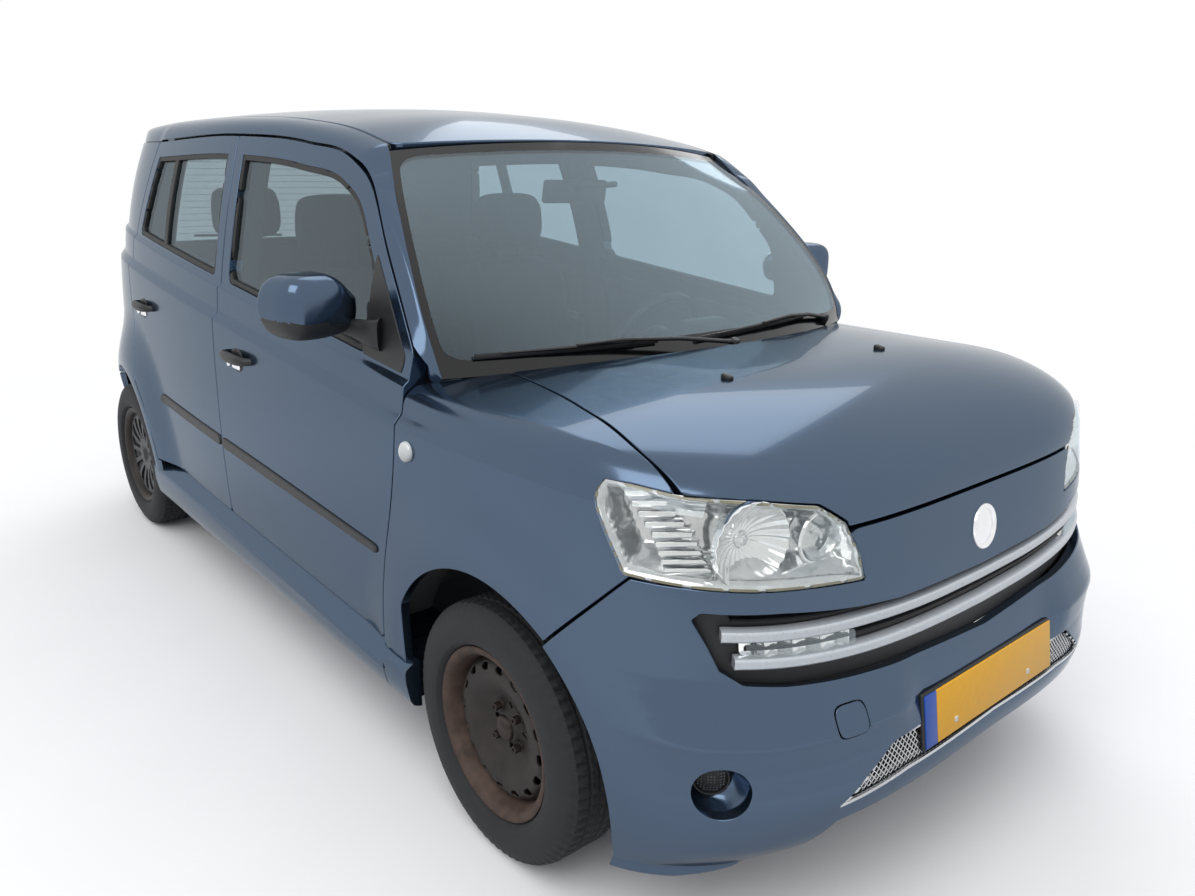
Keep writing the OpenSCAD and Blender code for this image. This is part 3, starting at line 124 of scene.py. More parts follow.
# Rows of [place, value] for the shape curves
FRONT_ROWS = [
    [190, 110], [260, 34], [320, 7], [360, 0], [420, 10], [500, 32], [545, 42], [610, 58], [690, 70], [770, 80],
    [858, 94],
]
REAR_ROWS = [
    [200, 65], [330, 12], [430, 0], [540, 6], [620, 20], [800, 32], [1000, 50], [1150, 74], [1300, 115],
    [1450, 165], [1550, 210], [1620, 262],
]
ROOF_ROWS = [[-1700, 75], [-1500, 33], [-1200, 10], [-800, 0], [-400, 1], [0, 17], [300, 49], [450, 82], [560, 110]]
DOOR_TOP_ROWS = [
    [-2340, 0.965], [-1536, 1], [-1046, 0.951], [-778, 0.868], [-652, 0.737], [-530, 0.449], [-403, 0.156],
    [-340, 0],
]
FRONT_EDGE_ROWS = [[300, -96], [566, -65], [802, -18], [1000, -4], [1062, 0]]
B_EDGE_ROWS = [[300, 20], [900, 0], [1250, -20], [1530, -56]]
REAR_EDGE_ROWS = [
    [649.5, 209.9], [750, 172], [850, 126], [950, 92], [1060, 79], [1162, 92], [1339, 163], [1530, 233],
]
EDGE_OUT_ROWS = [[0, 16], [0.1, 32], [0.25, 50], [0.5, 54], [0.75, 37], [0.93, 10], [1, 0]]
SHUT_ROWS = [[900, 585], [1090, 604], [1200, 623], [1370, 663], [1520, 697], [1640, 703]]
LAMP_REAR_ROWS = [[750, 1575], [786, 1567], [854, 1531], [923, 1496], [960, 1512]]


def lerp(a, b, t):
    return a + (b - a) * t


def clip(t):
    return np.clip(t, 0.0, 1.0)


def smooth(t):
    u = clip(t)
    return u * u * (3 - 2 * u)


def ramp(t, soft=0.1):
    """A step from 0 to 1 with rounded corners."""
    return (np.sqrt(t * t + soft * soft) - np.sqrt((t - 1) ** 2 + soft * soft) + 1) / 2


def curve(rows, place):
    """Smooth curve through rows of [place, value]."""
    table = np.asarray(rows, float)
    at, value = table[:, 0], table[:, 1]
    t = np.clip(place, at[0], at[-1])
    gap = np.diff(at)
    rise = np.diff(value) / gap
    slope = np.empty(len(at))
    slope[0] = rise[0]
    slope[-1] = rise[-1]
    slope[1:-1] = (rise[:-1] * gap[1:] + rise[1:] * gap[:-1]) / (gap[1:] + gap[:-1])
    i = np.clip(np.searchsorted(at, t, side="right") - 1, 0, len(at) - 2)
    h = gap[i]
    s = (t - at[i]) / h
    left = (2 * s**3 - 3 * s**2 + 1) * value[i] + (s**3 - 2 * s**2 + s) * h * slope[i]
    return left + (3 * s**2 - 2 * s**3) * value[i + 1] + (s**3 - s**2) * h * slope[i + 1]


def spread(a, b, n):
    return np.linspace(a, b, n + 1)


def stack(x, y, z):
    return np.stack(np.broadcast_arrays(x, y, z), -1).astype(float)


# Shape of the body side
def crease_z(x):
    return CREASE_H + CREASE_RISE * np.maximum(0, A_LINE - x)


def belt_z(x):
    return BELT_H - BELT_RISE * x


def flare(x, z):
    front = np.hypot(x - FRONT_AXLE, z - AXLE_Z)
    rear = np.hypot(x - REAR_AXLE, z - AXLE_Z)
    near_front = smooth((ARCH_R + FLARE_FRONT_REACH - front) / FLARE_FRONT_REACH)
    near_rear = smooth((ARCH_R + FLARE_REAR_REACH - rear) / FLARE_REAR_REACH)
    return FLARE_FRONT * near_front + FLARE_REAR * near_rear


def section_y(x, z):
    """Half width of the body before the flares and the rounded ends."""
    zc = crease_z(x)
    zb = np.where(x > A_LINE + 20, NO_BELT, belt_z(x))
    mix = smooth((x - A_LINE) / (FRONT_AXLE - A_LINE))
    up = clip((z - zb) / (DOOR_TOP - zb))
    low_tuck = TUCK_LOW * ((BELLY_Z - z) / TUCK_LOW_REACH) ** 2
    high_tuck = TUCK_HIGH * ((np.minimum(z, zc) - BELLY_Z) / TUCK_HIGH_REACH) ** 2
    crease = CREASE_STEP * lerp(1, 0.2, mix) * ramp((z - zc) / CREASE_SOFT + 0.5)
    lean = lerp(LEAN_DOOR, LEAN_WING, mix) * np.maximum(0, np.minimum(z, zb) - zc)
    ledge = BELT_STEP * ramp((z - zb) / BELT_SOFT + 0.5)
    y = HALF_W - SIDE_INSET - np.where(z < BELLY_Z, low_tuck, high_tuck)
    y = y - crease - lean
    y = y - ledge - WINDOW_LEAN * np.maximum(0, z - zb) + WINDOW_CROWN * up * (1 - up)
    rear_taper = TAPER_REAR * (np.maximum(0, B_LINE - x) / TAPER_REAR_REACH) ** 2
    return y - rear_taper - TAPER_FRONT * (np.maximum(0, x - A_LINE) / TAPER_FRONT_REACH) ** 2


def front_x(z):
    return NOSE - curve(FRONT_ROWS, z)


def rear_x(z):
    return TAIL + curve(REAR_ROWS, z)


def side_y(x, z):
    ahead = (1 - clip((x - FRONT_AXLE) / (front_x(z) - FRONT_AXLE)) ** FRONT_POWER) ** (1 / FRONT_POWER)
    behind = (1 - clip((REAR_START - x) / (REAR_START - rear_x(z))) ** REAR_POWER) ** (1 / REAR_POWER)
    return (section_y(x, z) + flare(x, z)) * ahead * behind


# Nose, hood, roof and windscreen
def hood_top(a):
    return HOOD_H - HOOD_CROWN * (np.abs(a) / HOOD_HALF) ** 3


def nose_half(z):
    return section_y(np.full_like(np.asarray(z, float), FRONT_AXLE), z)


def nose_at(a, z):
    fall = (1 - clip(np.abs(a) / nose_half(z)) ** FRONT_POWER) ** (1 / FRONT_POWER)
    return FRONT_AXLE + (front_x(z) - FRONT_AXLE) * fall


def dome_z(x, a):
    top = nose_at(a, np.full_like(np.asarray(a, float), NOSE_H))
    u = clip((x - DOME_START) / np.maximum(1, top - DOME_START))
    return NOSE_H + (hood_top(a) - NOSE_H) * (1 - u**DOME_POWER) ** (1 / DOME_POWER)


def face_point(t, z, inset=0.0):
    """Front face by the angle from straight ahead, in degrees, and the height."""
    q = np.radians(np.abs(t))
    zz = np.minimum(z, NOSE_H)
    c = np.maximum(np.cos(q), 0) ** (2 / FRONT_POWER)
    w = np.sin(q) ** (2 / FRONT_POWER)
    x0 = FRONT_AXLE + (front_x(zz) - FRONT_AXLE - inset) * c
    a = (nose_half(zz) + flare(x0, z) - inset - 0.2 * (z - zz)) * w
    f = clip((z - NOSE_H) / (hood_top(a) - NOSE_H))
    x = np.where(z <= NOSE_H, x0, DOME_START + (x0 - DOME_START) * (1 - f**DOME_POWER) ** (1 / DOME_POWER))
    return stack(x, np.sign(t) * a, z)


def face_under(inset):
    """The front face, set in by a depth."""
    return lambda t, z: face_point(t, z, inset)


def back_point(t, z, inset=0.0):
    """Rear surface by the angle from straight behind, in degrees, and the height."""
    q = np.radians(np.abs(t))
    x = REAR_START - (REAR_START - rear_x(z) - inset) * np.maximum(np.cos(q), 0) ** (2 / REAR_POWER)
    w = section_y(x, z) + flare(x, z) - inset
    return stack(x, np.sign(t) * w * np.sin(q) ** (2 / REAR_POWER), z)


def back_angle(a, z):
    """Angle at which the rear surface reaches a half width."""
    w = section_y(np.full_like(np.asarray(z, float), REAR_AXLE - 300), z)
    for _ in range(6):
        t = np.degrees(np.arcsin(clip(a / w) ** (REAR_POWER / 2)))
        x = back_point(t, z)[..., 0]
        w = section_y(x, z) + flare(x, z)
    return t


def roof_z(x, a):
    return ROOF_H - curve(ROOF_ROWS, x) - ROOF_CROWN * (a / DITCH_Y) ** 2


def ditch(x):
    return np.minimum(DITCH_Y, side_y(x, np.full_like(np.asarray(x, float), DOOR_TOP - 14)) - 20)


def hood_rear(a):
    return HOOD_REAR_MID - HOOD_SWEEP * (np.abs(a) / HOOD_SWEEP_HALF) ** HOOD_SWEEP_POWER


def shut_y(x):
    return curve(SHUT_ROWS, x)


def screen_half(v):
    return lerp(SCREEN_LOW_HALF, SCREEN_TOP_HALF, v) + curve(EDGE_OUT_ROWS, v)


def screen_edge(v):
    low_x = hood_rear(float(SCREEN_LOW_HALF)) - 8
    bulge = SCREEN_EDGE_BULGE * v * (1 - v)
    x = lerp(low_x, SCREEN_EDGE_TOP_X, v) + bulge + SCREEN_EDGE_OUT * curve(EDGE_OUT_ROWS, v)
    return stack(x, screen_half(v), lerp(SCREEN_LOW_Z, SCREEN_TOP_Z, v))


def screen_point(u, v, inset=0.0):
    """Point of the windscreen by the shares across, from -1 to 1, and up, from 0 to 1."""
    e = screen_edge(v)
    a = np.abs(u)
    top_z = float(roof_z(float(SCREEN_MID_TOP_X), 0.0)) - 4
    mid_x = lerp(SCREEN_MID_X, SCREEN_MID_TOP_X, v) + SCREEN_MID_BULGE * v * (1 - v)
    mid_z = lerp(SCREEN_MID_Z, top_z, v)
    x = lerp(mid_x, e[..., 0], a ** lerp(2.4, 2, v))
    z = lerp(mid_z, e[..., 2], a**2)
    return stack(x - inset * SCREEN_NORMAL[0], u * (e[..., 1] - 0.3), z - inset * SCREEN_NORMAL[1])


# Door outlines, seen from the side
def door_top_z(x):
    return DOOR_CORNER + (DOOR_TOP - DOOR_CORNER) * curve(DOOR_TOP_ROWS, x - FRONT_AXLE)


def front_edge(z):
    return A_LINE + curve(FRONT_EDGE_ROWS, z)


def b_edge(z):
    return B_LINE + curve(B_EDGE_ROWS, z)


def rear_edge(z):
    low = REAR_AXLE + np.sqrt(np.maximum(0, LIP_R**2 - (z - AXLE_Z) ** 2))
    return np.where(z < AXLE_Z + 358, low, REAR_AXLE + curve(REAR_EDGE_ROWS, z))


def door_bottom(x):
    return DOOR_BOTTOM_H - SILL_RISE * x


REAR_TOP_X = float(rear_edge(DOOR_TOP))


def front_door_outline():
    z = spread(door_bottom(float(front_edge(300.0))), DOOR_CORNER, 16)
    x = spread(A_LINE - 40, float(b_edge(DOOR_TOP)) + SHUT_GAP, 40)
    down = spread(DOOR_TOP - 20, door_bottom(B_LINE), 14)
    return np.concatenate(
        [
            stack(front_edge(z), z, 0)[:, :2], stack(x, door_top_z(x), 0)[:, :2],
            stack(b_edge(down) + SHUT_GAP / 2, down, 0)[:, :2],
        ]
    )


def rear_door_outline():
    up = spread(door_bottom(B_LINE), DOOR_TOP - 20, 14)
    x = spread(float(b_edge(DOOR_TOP)) - SHUT_GAP, REAR_TOP_X, 14)
    z = spread(DOOR_TOP - 40, door_bottom(REAR_AXLE + LIP_R), 44)
    return np.concatenate(
        [
            stack(b_edge(up) - SHUT_GAP / 2, up, 0)[:, :2], stack(x, door_top_z(x), 0)[:, :2],
            stack(rear_edge(z), z, 0)[:, :2],
        ]
    )


# Signed distances, positive inside
def inside(outline, px, py):
    """Signed distance to a closed outline."""
    a = np.asarray(outline, float)
    b = np.roll(a, -1, 0)
    d = b - a
    size = np.maximum((d * d).sum(1), 1e-9)
    p = np.stack([np.ravel(px), np.ravel(py)], -1)[:, None]
    t = clip(((p - a) * d).sum(-1) / size)
    off = p - a - t[..., None] * d
    dist = np.sqrt((off * off).sum(-1).min(1))
    above = (a[:, 1] > p[..., 1]) != (b[:, 1] > p[..., 1])
    cross = p[..., 0] < d[:, 0] * (p[..., 1] - a[:, 1]) / np.where(d[:, 1] == 0, 1e-9, d[:, 1]) + a[:, 0]
    odd = (above & cross).sum(1) % 2 == 1
    return np.where(odd, dist, -dist).reshape(np.shape(px))


def both(*fields, soft=0.0):
    """Where all the fields are positive, with the corners rounded."""
    out = fields[0]
    for f in fields[1:]:
        if soft:
            h = np.maximum(soft - np.abs(out - f), 0) / soft
            out = np.minimum(out, f) - h * h * soft * 0.25
        else:
            out = np.minimum(out, f)
    return out


# Mesh pieces
class Solid:
    """Points, faces and corner normals gathered for one piece."""

    def __init__(self):
        self.points = []
        self.faces = []
        self.normals = []
        self.marks = []
        self.count = 0

    def add(self, points, faces, normals=None, mark=0):
        """faces index points; normals has one row for each corner of each face, or is None."""
        faces = np.asarray(faces, int)
        self.points.append(np.asarray(points, float))
        self.faces.append(faces + self.count)
        self.normals.append(None if normals is None else np.asarray(normals, float))
        self.marks.append(np.full(len(faces), mark))
        self.count += len(points)
        return self

    def join(self, other):
        for p, f, n, m in zip(other.points, other.faces, other.normals, other.marks):
            self.points.append(p)
            self.faces.append(f + self.count)
            self.normals.append(n)
            self.marks.append(m)
        self.count += other.count
        return self

    def moved(self, change):
        """A copy with each point set passed through a function of points; normals must be None."""
        out = Solid()
        out.faces = list(self.faces)
        out.marks = list(self.marks)
        out.count = self.count
        out.points = [change(p) for p in self.points]
        out.normals = [None for _ in self.points]
        return out

    def mirrored(self):
        flip = np.array([1.0, -1.0, 1.0])
        out = Solid()
        out.points = [p * flip for p in self.points]
        out.faces = [f[:, ::-1] for f in self.faces]
        out.normals = [
            None if n is None else (n.reshape(len(f), -1, 3)[:, ::-1] * flip).reshape(-1, 3)
            for f, n in zip(self.faces, self.normals)
        ]
        out.marks = list(self.marks)
        out.count = self.count
        return out


def build(name, solid, body, materials, slot=None, nodes=(), angle=38):
    """Makes the object, sets its finish and lets it ride on a CAD body."""
    points = np.concatenate(solid.points) * MM
    faces = [tuple(int(i) for i in row) for block in solid.faces for row in block]
    mesh = bpy.data.meshes.new(name)
    mesh.from_pydata(points.tolist(), [], faces)
    for m in materials:
        mesh.materials.append(m)
    mesh.polygons.foreach_set("material_index", np.concatenate(solid.marks).astype(np.int32))
    mesh.polygons.foreach_set("use_smooth", np.ones(len(faces), dtype=bool))
    mesh.update()
    if all(n is not None for n in solid.normals):
        mesh.normals_split_custom_set(np.concatenate(solid.normals).tolist())
    else:
        mesh.set_sharp_from_angle(angle=math.radians(angle))
    piece = bpy.data.objects.new(name, mesh)
    bpy.context.scene.collection.objects.link(piece)
    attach(piece, body)
    if nodes:
        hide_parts(*nodes)
    return piece


def pair(name, solid, body, materials, shared=(), **extra):
    """The right piece and its mirror image on the left.

    {} in names stands for the side; nodes in shared hold both sides and go with the right piece."""
    for side, data in (("right", solid), ("left", solid.mirrored())):
        settings = dict(extra)
        settings["nodes"] = [n.format(side) for n in extra.get("nodes", ())]
        if side == "right":
            settings["nodes"] += shared
        build(name.format(side), data, body.format(side), materials, **settings)


def unit(v):
    return v / np.maximum(np.linalg.norm(v, axis=-1, keepdims=True), 1e-9)


def split(tris, uv, value, level, measure):
    """Cuts triangles along value = level; measure gives the value at new places."""
    above = value[tris] > level
    mixed = above.any(1) & ~above.all(1)
    keep = tris[~mixed]
    cut = tris[mixed]
    if len(cut) == 0:
        return keep, uv, value
    edges = np.sort(np.concatenate([cut[:, [0, 1]], cut[:, [1, 2]], cut[:, [2, 0]]]), 1)
    edges = np.unique(edges, axis=0)
    edges = edges[(value[edges[:, 0]] > level) != (value[edges[:, 1]] > level)]
    a, b = uv[edges[:, 0]], uv[edges[:, 1]]
    fa, fb = value[edges[:, 0]] - level, value[edges[:, 1]] - level
    ta, tb = np.zeros(len(edges)), np.ones(len(edges))
    for _ in range(4):
        t = np.clip(ta + (tb - ta) * fa / (fa - fb), ta + 0.02 * (tb - ta), tb - 0.02 * (tb - ta))
        f = measure(lerp(a, b, t[:, None])) - level
        low = (f > 0) == (fa > 0)
        ta, fa = np.where(low, t, ta), np.where(low, f, fa)
        tb, fb = np.where(low, tb, t), np.where(low, fb, f)
    t = np.clip(ta + (tb - ta) * fa / np.where(fa == fb, 1, fa - fb), 0.004, 0.996)
    start = len(uv)
    uv = np.concatenate([uv, lerp(a, b, t[:, None])])
    value = np.concatenate([value, np.full(len(edges), float(level))])
    where = {(int(e[0]), int(e[1])): start + k for k, e in enumerate(edges)}
    fresh = []
    for tri in cut:
        side = [value[i] > level for i in tri]
        lone = next(k for k in range(3) if side[k] != side[(k + 1) % 3] and side[k] != side[(k + 2) % 3])
        p, q, r = (int(tri[(lone + k) % 3]) for k in range(3))
        pq = where[(min(p, q), max(p, q))]
        pr = where[(min(p, r), max(p, r))]
        fresh += [(p, pq, pr), (pq, q, r), (pq, r, pr)]
    return np.concatenate([keep, np.array(fresh, int)]), uv, value


def patch(
    surface, us, vs, field, thick, edge=2.5, inward=None, out=None, back_mark=1, centre=(0.0, 0.0, 700.0),
    sheet=False,
):
    """A panel cut from a curved surface: rounded edges, walls and a back face.

    surface(u, v) gives points and field(points) is positive where the panel is. thick is a number or a function
    of points, inward is a fixed direction for the back face, and out is 1 or -1 to set the outer side by hand."""
    uu, vv = np.meshgrid(np.asarray(us, float), np.asarray(vs, float), indexing="ij")
    uv = np.stack([uu.ravel(), vv.ravel()], -1)
    rows, cols = uu.shape
    at = np.arange(rows * cols).reshape(rows, cols)
    a, b, c, d = at[:-1, :-1].ravel(), at[1:, :-1].ravel(), at[1:, 1:].ravel(), at[:-1, 1:].ravel()
    swap = (np.add.outer(np.arange(rows - 1), np.arange(cols - 1)) % 2).ravel() == 1
    one = np.where(swap[:, None], np.stack([a, b, d], -1), np.stack([a, b, c], -1))
    two = np.where(swap[:, None], np.stack([b, c, d], -1), np.stack([a, c, d], -1))
    tris = np.concatenate([one, two])

    def measure(q):
        return field(surface(q[:, 0], q[:, 1]))

    value = measure(uv)
    levels = (0.0, 0.3 * edge, edge) if edge else (0.0,)
    for level in levels:
        tris, uv, value = split(tris, uv, value, level, measure)
        if level == 0.0:
            tris = tris[(value[tris] >= 0).all(1)]
    used, tris = np.unique(tris, return_inverse=True)
    tris = tris.reshape(-1, 3)
    uv, value = uv[used], value[used]
    p = surface(uv[:, 0], uv[:, 1])
    hu = (us[-1] - us[0]) * 1e-3
    hv = (vs[-1] - vs[0]) * 1e-3

    def beside(du, dv):
        return surface(np.clip(uv[:, 0] + du, us[0], us[-1]), np.clip(uv[:, 1] + dv, vs[0], vs[-1]))

    normal = unit(np.cross(beside(hu, 0) - beside(-hu, 0), beside(0, hv) - beside(0, -hv)))
    turn = out if out is not None else (1.0 if ((p - np.array(centre)) * normal).sum() > 0 else -1.0)
    normal = normal * turn
    if turn < 0:
        tris = tris[:, ::-1]
    lean = normal
    front = p
    slope = np.stack([(field(p + np.eye(3)[k] * 0.5) - field(p - np.eye(3)[k] * 0.5)) for k in range(3)], -1)
    slope = slope - (slope * normal).sum(1, keepdims=True) * normal
    away = -unit(slope)
    if edge:
        s = clip((edge - value) / edge)
        front = p - normal * (edge * (1 - np.sqrt(np.maximum(0, 1 - s * s))))[:, None]
        lean = unit(normal * np.sqrt(np.maximum(0, 1 - s * s))[:, None] + away * s[:, None])
    solid = Solid()
    corner = tris.ravel()
    if sheet:
        return solid.add(front, tris, lean[corner])
    depth = thick(p) if callable(thick) else np.full(len(p), float(thick))
    direction = -normal if inward is None else np.broadcast_to(np.asarray(inward, float), p.shape)
    back = p + direction * depth[:, None]
    n = len(p)
    solid.add(np.concatenate([front, back]), tris, lean[corner], 0)
    first = solid.count - 2 * n
    half = np.concatenate([tris[:, [0, 1]], tris[:, [1, 2]], tris[:, [2, 0]]])
    key = half[:, 0].astype(np.int64) * n + half[:, 1]
    twin = half[:, 1].astype(np.int64) * n + half[:, 0]
    rim = half[~np.isin(key, twin)]
    quads = np.stack([rim[:, 1], rim[:, 0], rim[:, 0] + n, rim[:, 1] + n], -1)
    wall = np.stack([away[rim[:, 1]], away[rim[:, 0]], away[rim[:, 0]], away[rim[:, 1]]], 1).reshape(-1, 3)
    solid.faces += [quads + first, tris[:, ::-1] + n + first]
    solid.normals += [wall, (-normal)[tris[:, ::-1].ravel()]]
    solid.marks += [np.zeros(len(quads), int), np.full(len(tris), back_mark)]
    solid.points += [np.zeros((0, 3)), np.zeros((0, 3))]
    return solid


# Finishes
COAT_ROUGH = 0.02
GLOSS_SPREAD = 0.06
NOISE_ENDS = (0.3, 0.7)
GLASS_SKIN = (0.8, 0.92, 1, 1)
GLASS_BLEND = 0.18


def node(tree, kind, values=(), links=(), **settings):
    """Adds a shader node; values and links are pairs of an input and its value or its source."""
    made = tree.nodes.new("ShaderNode" + kind)
    for key, value in settings.items():
        setattr(made, key, value)
    for key, value in values:
        made.inputs[key].default_value = value
    for key, source in links:
        tree.links.new(source, made.inputs[key])
    return made


def shades(tree, source, dark, light, ends=(0.0, 1.0)):
    """Colour that runs from dark to light with a source."""
    tint = node(tree, "ValToRGB", links=[("Fac", source)])
    for stop, colour, place in zip(tint.color_ramp.elements, (dark, light), ends):
        stop.color = (*colour, 1)
        stop.position = place
    return tint.outputs["Color"]


def finish_of(
    name, colour, rough=0.5, metal=0.0, coat=0.0, spread_by=0.06, grain=40.0, bump=0.0, bump_grain=400.0, **more
):
    """A procedural finish: the colour and gloss vary with noise, and a fine bump can be added."""
    mat = bpy.data.materials.new(name)
    mat.use_nodes = True
    tree = mat.node_tree
    shader = tree.nodes["Principled BSDF"]
    plain = {"Metallic": metal, "Coat Weight": coat, "Coat Roughness": COAT_ROUGH}
    plain.update({key.replace("_", " "): value for key, value in more.items()})
    for key, value in plain.items():
        shader.inputs[key].default_value = value
    where = node(tree, "TexCoord").outputs["Object"]
    noise = node(tree, "TexNoise", [("Scale", grain), ("Detail", 6.0)], [("Vector", where)]).outputs["Fac"]
    dark = [max(0.0, c * (1 - spread_by)) for c in colour]
    light = [min(1.0, c * (1 + spread_by)) for c in colour]
    tree.links.new(shades(tree, noise, dark, light, NOISE_ENDS), shader.inputs["Base Color"])
    limits = [("To Min", max(0.0, rough - GLOSS_SPREAD)), ("To Max", min(1.0, rough + GLOSS_SPREAD))]
    gloss = node(tree, "MapRange", limits, [("Value", noise)])
    tree.links.new(gloss.outputs["Result"], shader.inputs["Roughness"])
    if bump:
        fine = node(tree, "TexNoise", [("Scale", bump_grain), ("Detail", 3.0)], [("Vector", where)])
        height = [("Height", fine.outputs["Fac"])]
        lift = node(tree, "Bump", [("Strength", bump), ("Distance", MM)], height)
        tree.links.new(lift.outputs["Normal"], shader.inputs["Normal"])
    return mat


def srgb(code):
    """Linear colour from a hex code."""
    parts = [int(code[k : k + 2], 16) / 255 for k in (0, 2, 4)]
    return [c / 12.92 if c <= 0.04045 else ((c + 0.055) / 1.055) ** 2.4 for c in parts]


def glass_finish(name, colour, clear, least=0.03, most=0.5):
    """Clear sheet: looks straight through, with a tint and a glossy skin."""
    mat = bpy.data.materials.new(name)
    mat.use_nodes = True
    tree = mat.node_tree
    tree.nodes.remove(tree.nodes["Principled BSDF"])
    where = node(tree, "TexCoord").outputs["Object"]
    noise = node(tree, "TexNoise", [("Scale", 6.0)], [("Vector", where)]).outputs["Fac"]
    dark = [c * clear * 0.97 for c in colour]
    light = [min(1.0, c * clear * 1.03) for c in colour]
    see = node(tree, "BsdfTransparent", links=[("Color", shades(tree, noise, dark, light))])
    skin = node(tree, "BsdfGlossy", [("Roughness", 0.0), ("Color", GLASS_SKIN)])
    facing = node(tree, "LayerWeight", [("Blend", GLASS_BLEND)]).outputs["Facing"]
    edge = node(tree, "MapRange", [("To Min", least), ("To Max", most)], [("Value", facing)])
    parts = [("Fac", edge.outputs["Result"]), (1, see.outputs["BSDF"]), (2, skin.outputs["BSDF"])]
    mix = node(tree, "MixShader", links=parts)
    tree.links.new(mix.outputs["Shader"], tree.nodes["Material Output"].inputs["Surface"])
    return mat


PAINT_EDGE = (0.5, 0.55, 0.6, 1)
PAINT = finish_of(
    "paint", srgb("4a5b70"), rough=0.18, metal=0.9, coat=0.35, spread_by=0.06, grain=900.0,
    Specular_Tint=PAINT_EDGE,
)
BLACK = finish_of("black_trim", srgb("1b1c1e"), rough=0.5, spread_by=0.15, bump=0.15, bump_grain=900.0)
RUBBER = finish_of("seal_rubber", srgb("131415"), rough=0.6, spread_by=0.2)
INNER = finish_of("inner_trim", srgb("232528"), rough=0.75, spread_by=0.12, bump=0.3, bump_grain=700.0)
GLASS = glass_finish("window_glass", [0.84, 0.9, 0.92], 0.8, 0.02, 0.3)
SCREEN = glass_finish("screen_glass", [0.84, 0.95, 1.0], 0.86, 0.05, 0.6)
FRIT = finish_of("screen_frit", srgb("0c0d0f"), rough=0.12, spread_by=0.2)
CLEAR = glass_finish("clear_lens", [0.98, 0.98, 0.97], 0.96)
CHROME = finish_of("chrome", [0.85, 0.86, 0.87], rough=0.1, metal=1.0, spread_by=0.04)
SILVER = finish_of("satin_silver", srgb("c6cbd1"), rough=0.3, metal=0.35, coat=0.4, spread_by=0.05, grain=120.0)
WIRE = finish_of("bright_wire", srgb("c9cbcd"), rough=0.25, metal=0.9, spread_by=0.08, grain=90.0)
TYRE = finish_of("tyre_rubber", srgb("1f2023"), rough=0.78, spread_by=0.25, grain=60.0, bump=0.3, bump_grain=700.0)
STEEL = finish_of(
    "wheel_steel", srgb("272220"), rough=0.55, metal=0.3, spread_by=0.45, grain=22.0, bump=0.3, bump_grain=250.0,
)
IRON = finish_of("iron", srgb("4a4745"), rough=0.6, metal=0.7, spread_by=0.3, grain=30.0, bump=0.3)
ALLOY = finish_of("alloy", srgb("84878b"), rough=0.45, metal=0.8, spread_by=0.15, bump=0.2)
RED = finish_of("red_lens", srgb("8e1216"), rough=0.12, coat=1.0, spread_by=0.15, grain=200.0)
LENS_PALE = finish_of("pale_lens", srgb("cfd1d2"), rough=0.12, coat=1.0, spread_by=0.1, grain=200.0)
LINING = finish_of(
    "arch_lining", srgb("202123"), rough=0.85, spread_by=0.25, grain=30.0, bump=0.4, bump_grain=500.0,
)
FABRIC = finish_of(
    "seat_fabric", srgb("1d1e21"), rough=0.9, spread_by=0.25, grain=300.0, bump=0.7, bump_grain=1200.0,
)

# Doors: the side surface, with rows of points held along the crease and the window ledge
SAIL_X = A_LINE - 215
DIVIDER_X = REAR_AXLE + 470
DIVIDER_W = 36.0
FRAME_W = 54.0
DOOR_T = 74.0
FRAME_T = 40.0
WINDOW_LOW = 16
CREASE_BAND = 17
BELT_BAND = 10
ROW_ENDS = [0.0, 26.0, 33.0, 40.0, 45.0, 70.0]


def row_z(x, v, low=290.0, top=DOOR_TOP + 16, ends=ROW_ENDS):
    zc = crease_z(x)
    zb = belt_z(x)
    bands = [zc - CREASE_BAND, zc + CREASE_BAND, zb - BELT_BAND, zb + BELT_BAND]
    stops = [np.full_like(zc, low), *bands, np.full_like(zc, top)]
    z = stops[0]
    for k in range(5):
        part = clip((v - ends[k]) / (ends[k + 1] - ends[k]))
        z = z + (stops[k + 1] - stops[k]) * part
    return z


def side_surface(inset=0.0):
    def surface(x, v):
        z = row_z(x, v)
        return stack(x, -(side_y(x, z) - inset), z)

    return surface


def side_glass(inset):
    def surface(x, z):
        return stack(x, -(side_y(x, np.maximum(z, belt_z(x) + 14)) - inset), z)

    return surface


FRONT_OUTLINE = front_door_outline()
REAR_OUTLINE = rear_door_outline()


def front_window(p):
    x, z = p[:, 0], p[:, 2]
    return both(inside(FRONT_OUTLINE, x, z) - FRAME_W, z - belt_z(x) - WINDOW_LOW, SAIL_X - x, soft=26)


def rear_window(p):
    x, z = p[:, 0], p[:, 2]
    return both(inside(REAR_OUTLINE, x, z) - FRAME_W, z - belt_z(x) - WINDOW_LOW, soft=26)


def door_depth(p):
    return lerp(DOOR_T, FRAME_T, smooth((p[:, 2] - belt_z(p[:, 0]) + 14) / 20))


IN_RIGHT = (0.0, 1.0, 0.0)
DOOR_ROWS = np.arange(0, 71)
FRONT_XS = spread(B_LINE - 70, A_LINE + 12, 60)
REAR_XS = spread(REAR_AXLE + 40, B_LINE + 40, 56)

DOORS = (("front", FRONT_OUTLINE, front_window, FRONT_XS), ("rear", REAR_OUTLINE, rear_window, REAR_XS))
for end, outline, window, xs in DOORS:
    panel = patch(
        side_surface(), xs, DOOR_ROWS,
        lambda p: both(inside(outline, p[:, 0], p[:, 2]), -window(p)),
        door_depth, inward=IN_RIGHT,
    )
    pair(end + "_door_{}", panel, end + "_door_{}", [PAINT, INNER], slot="paint", nodes=[f"door_{end}_{{}}"])

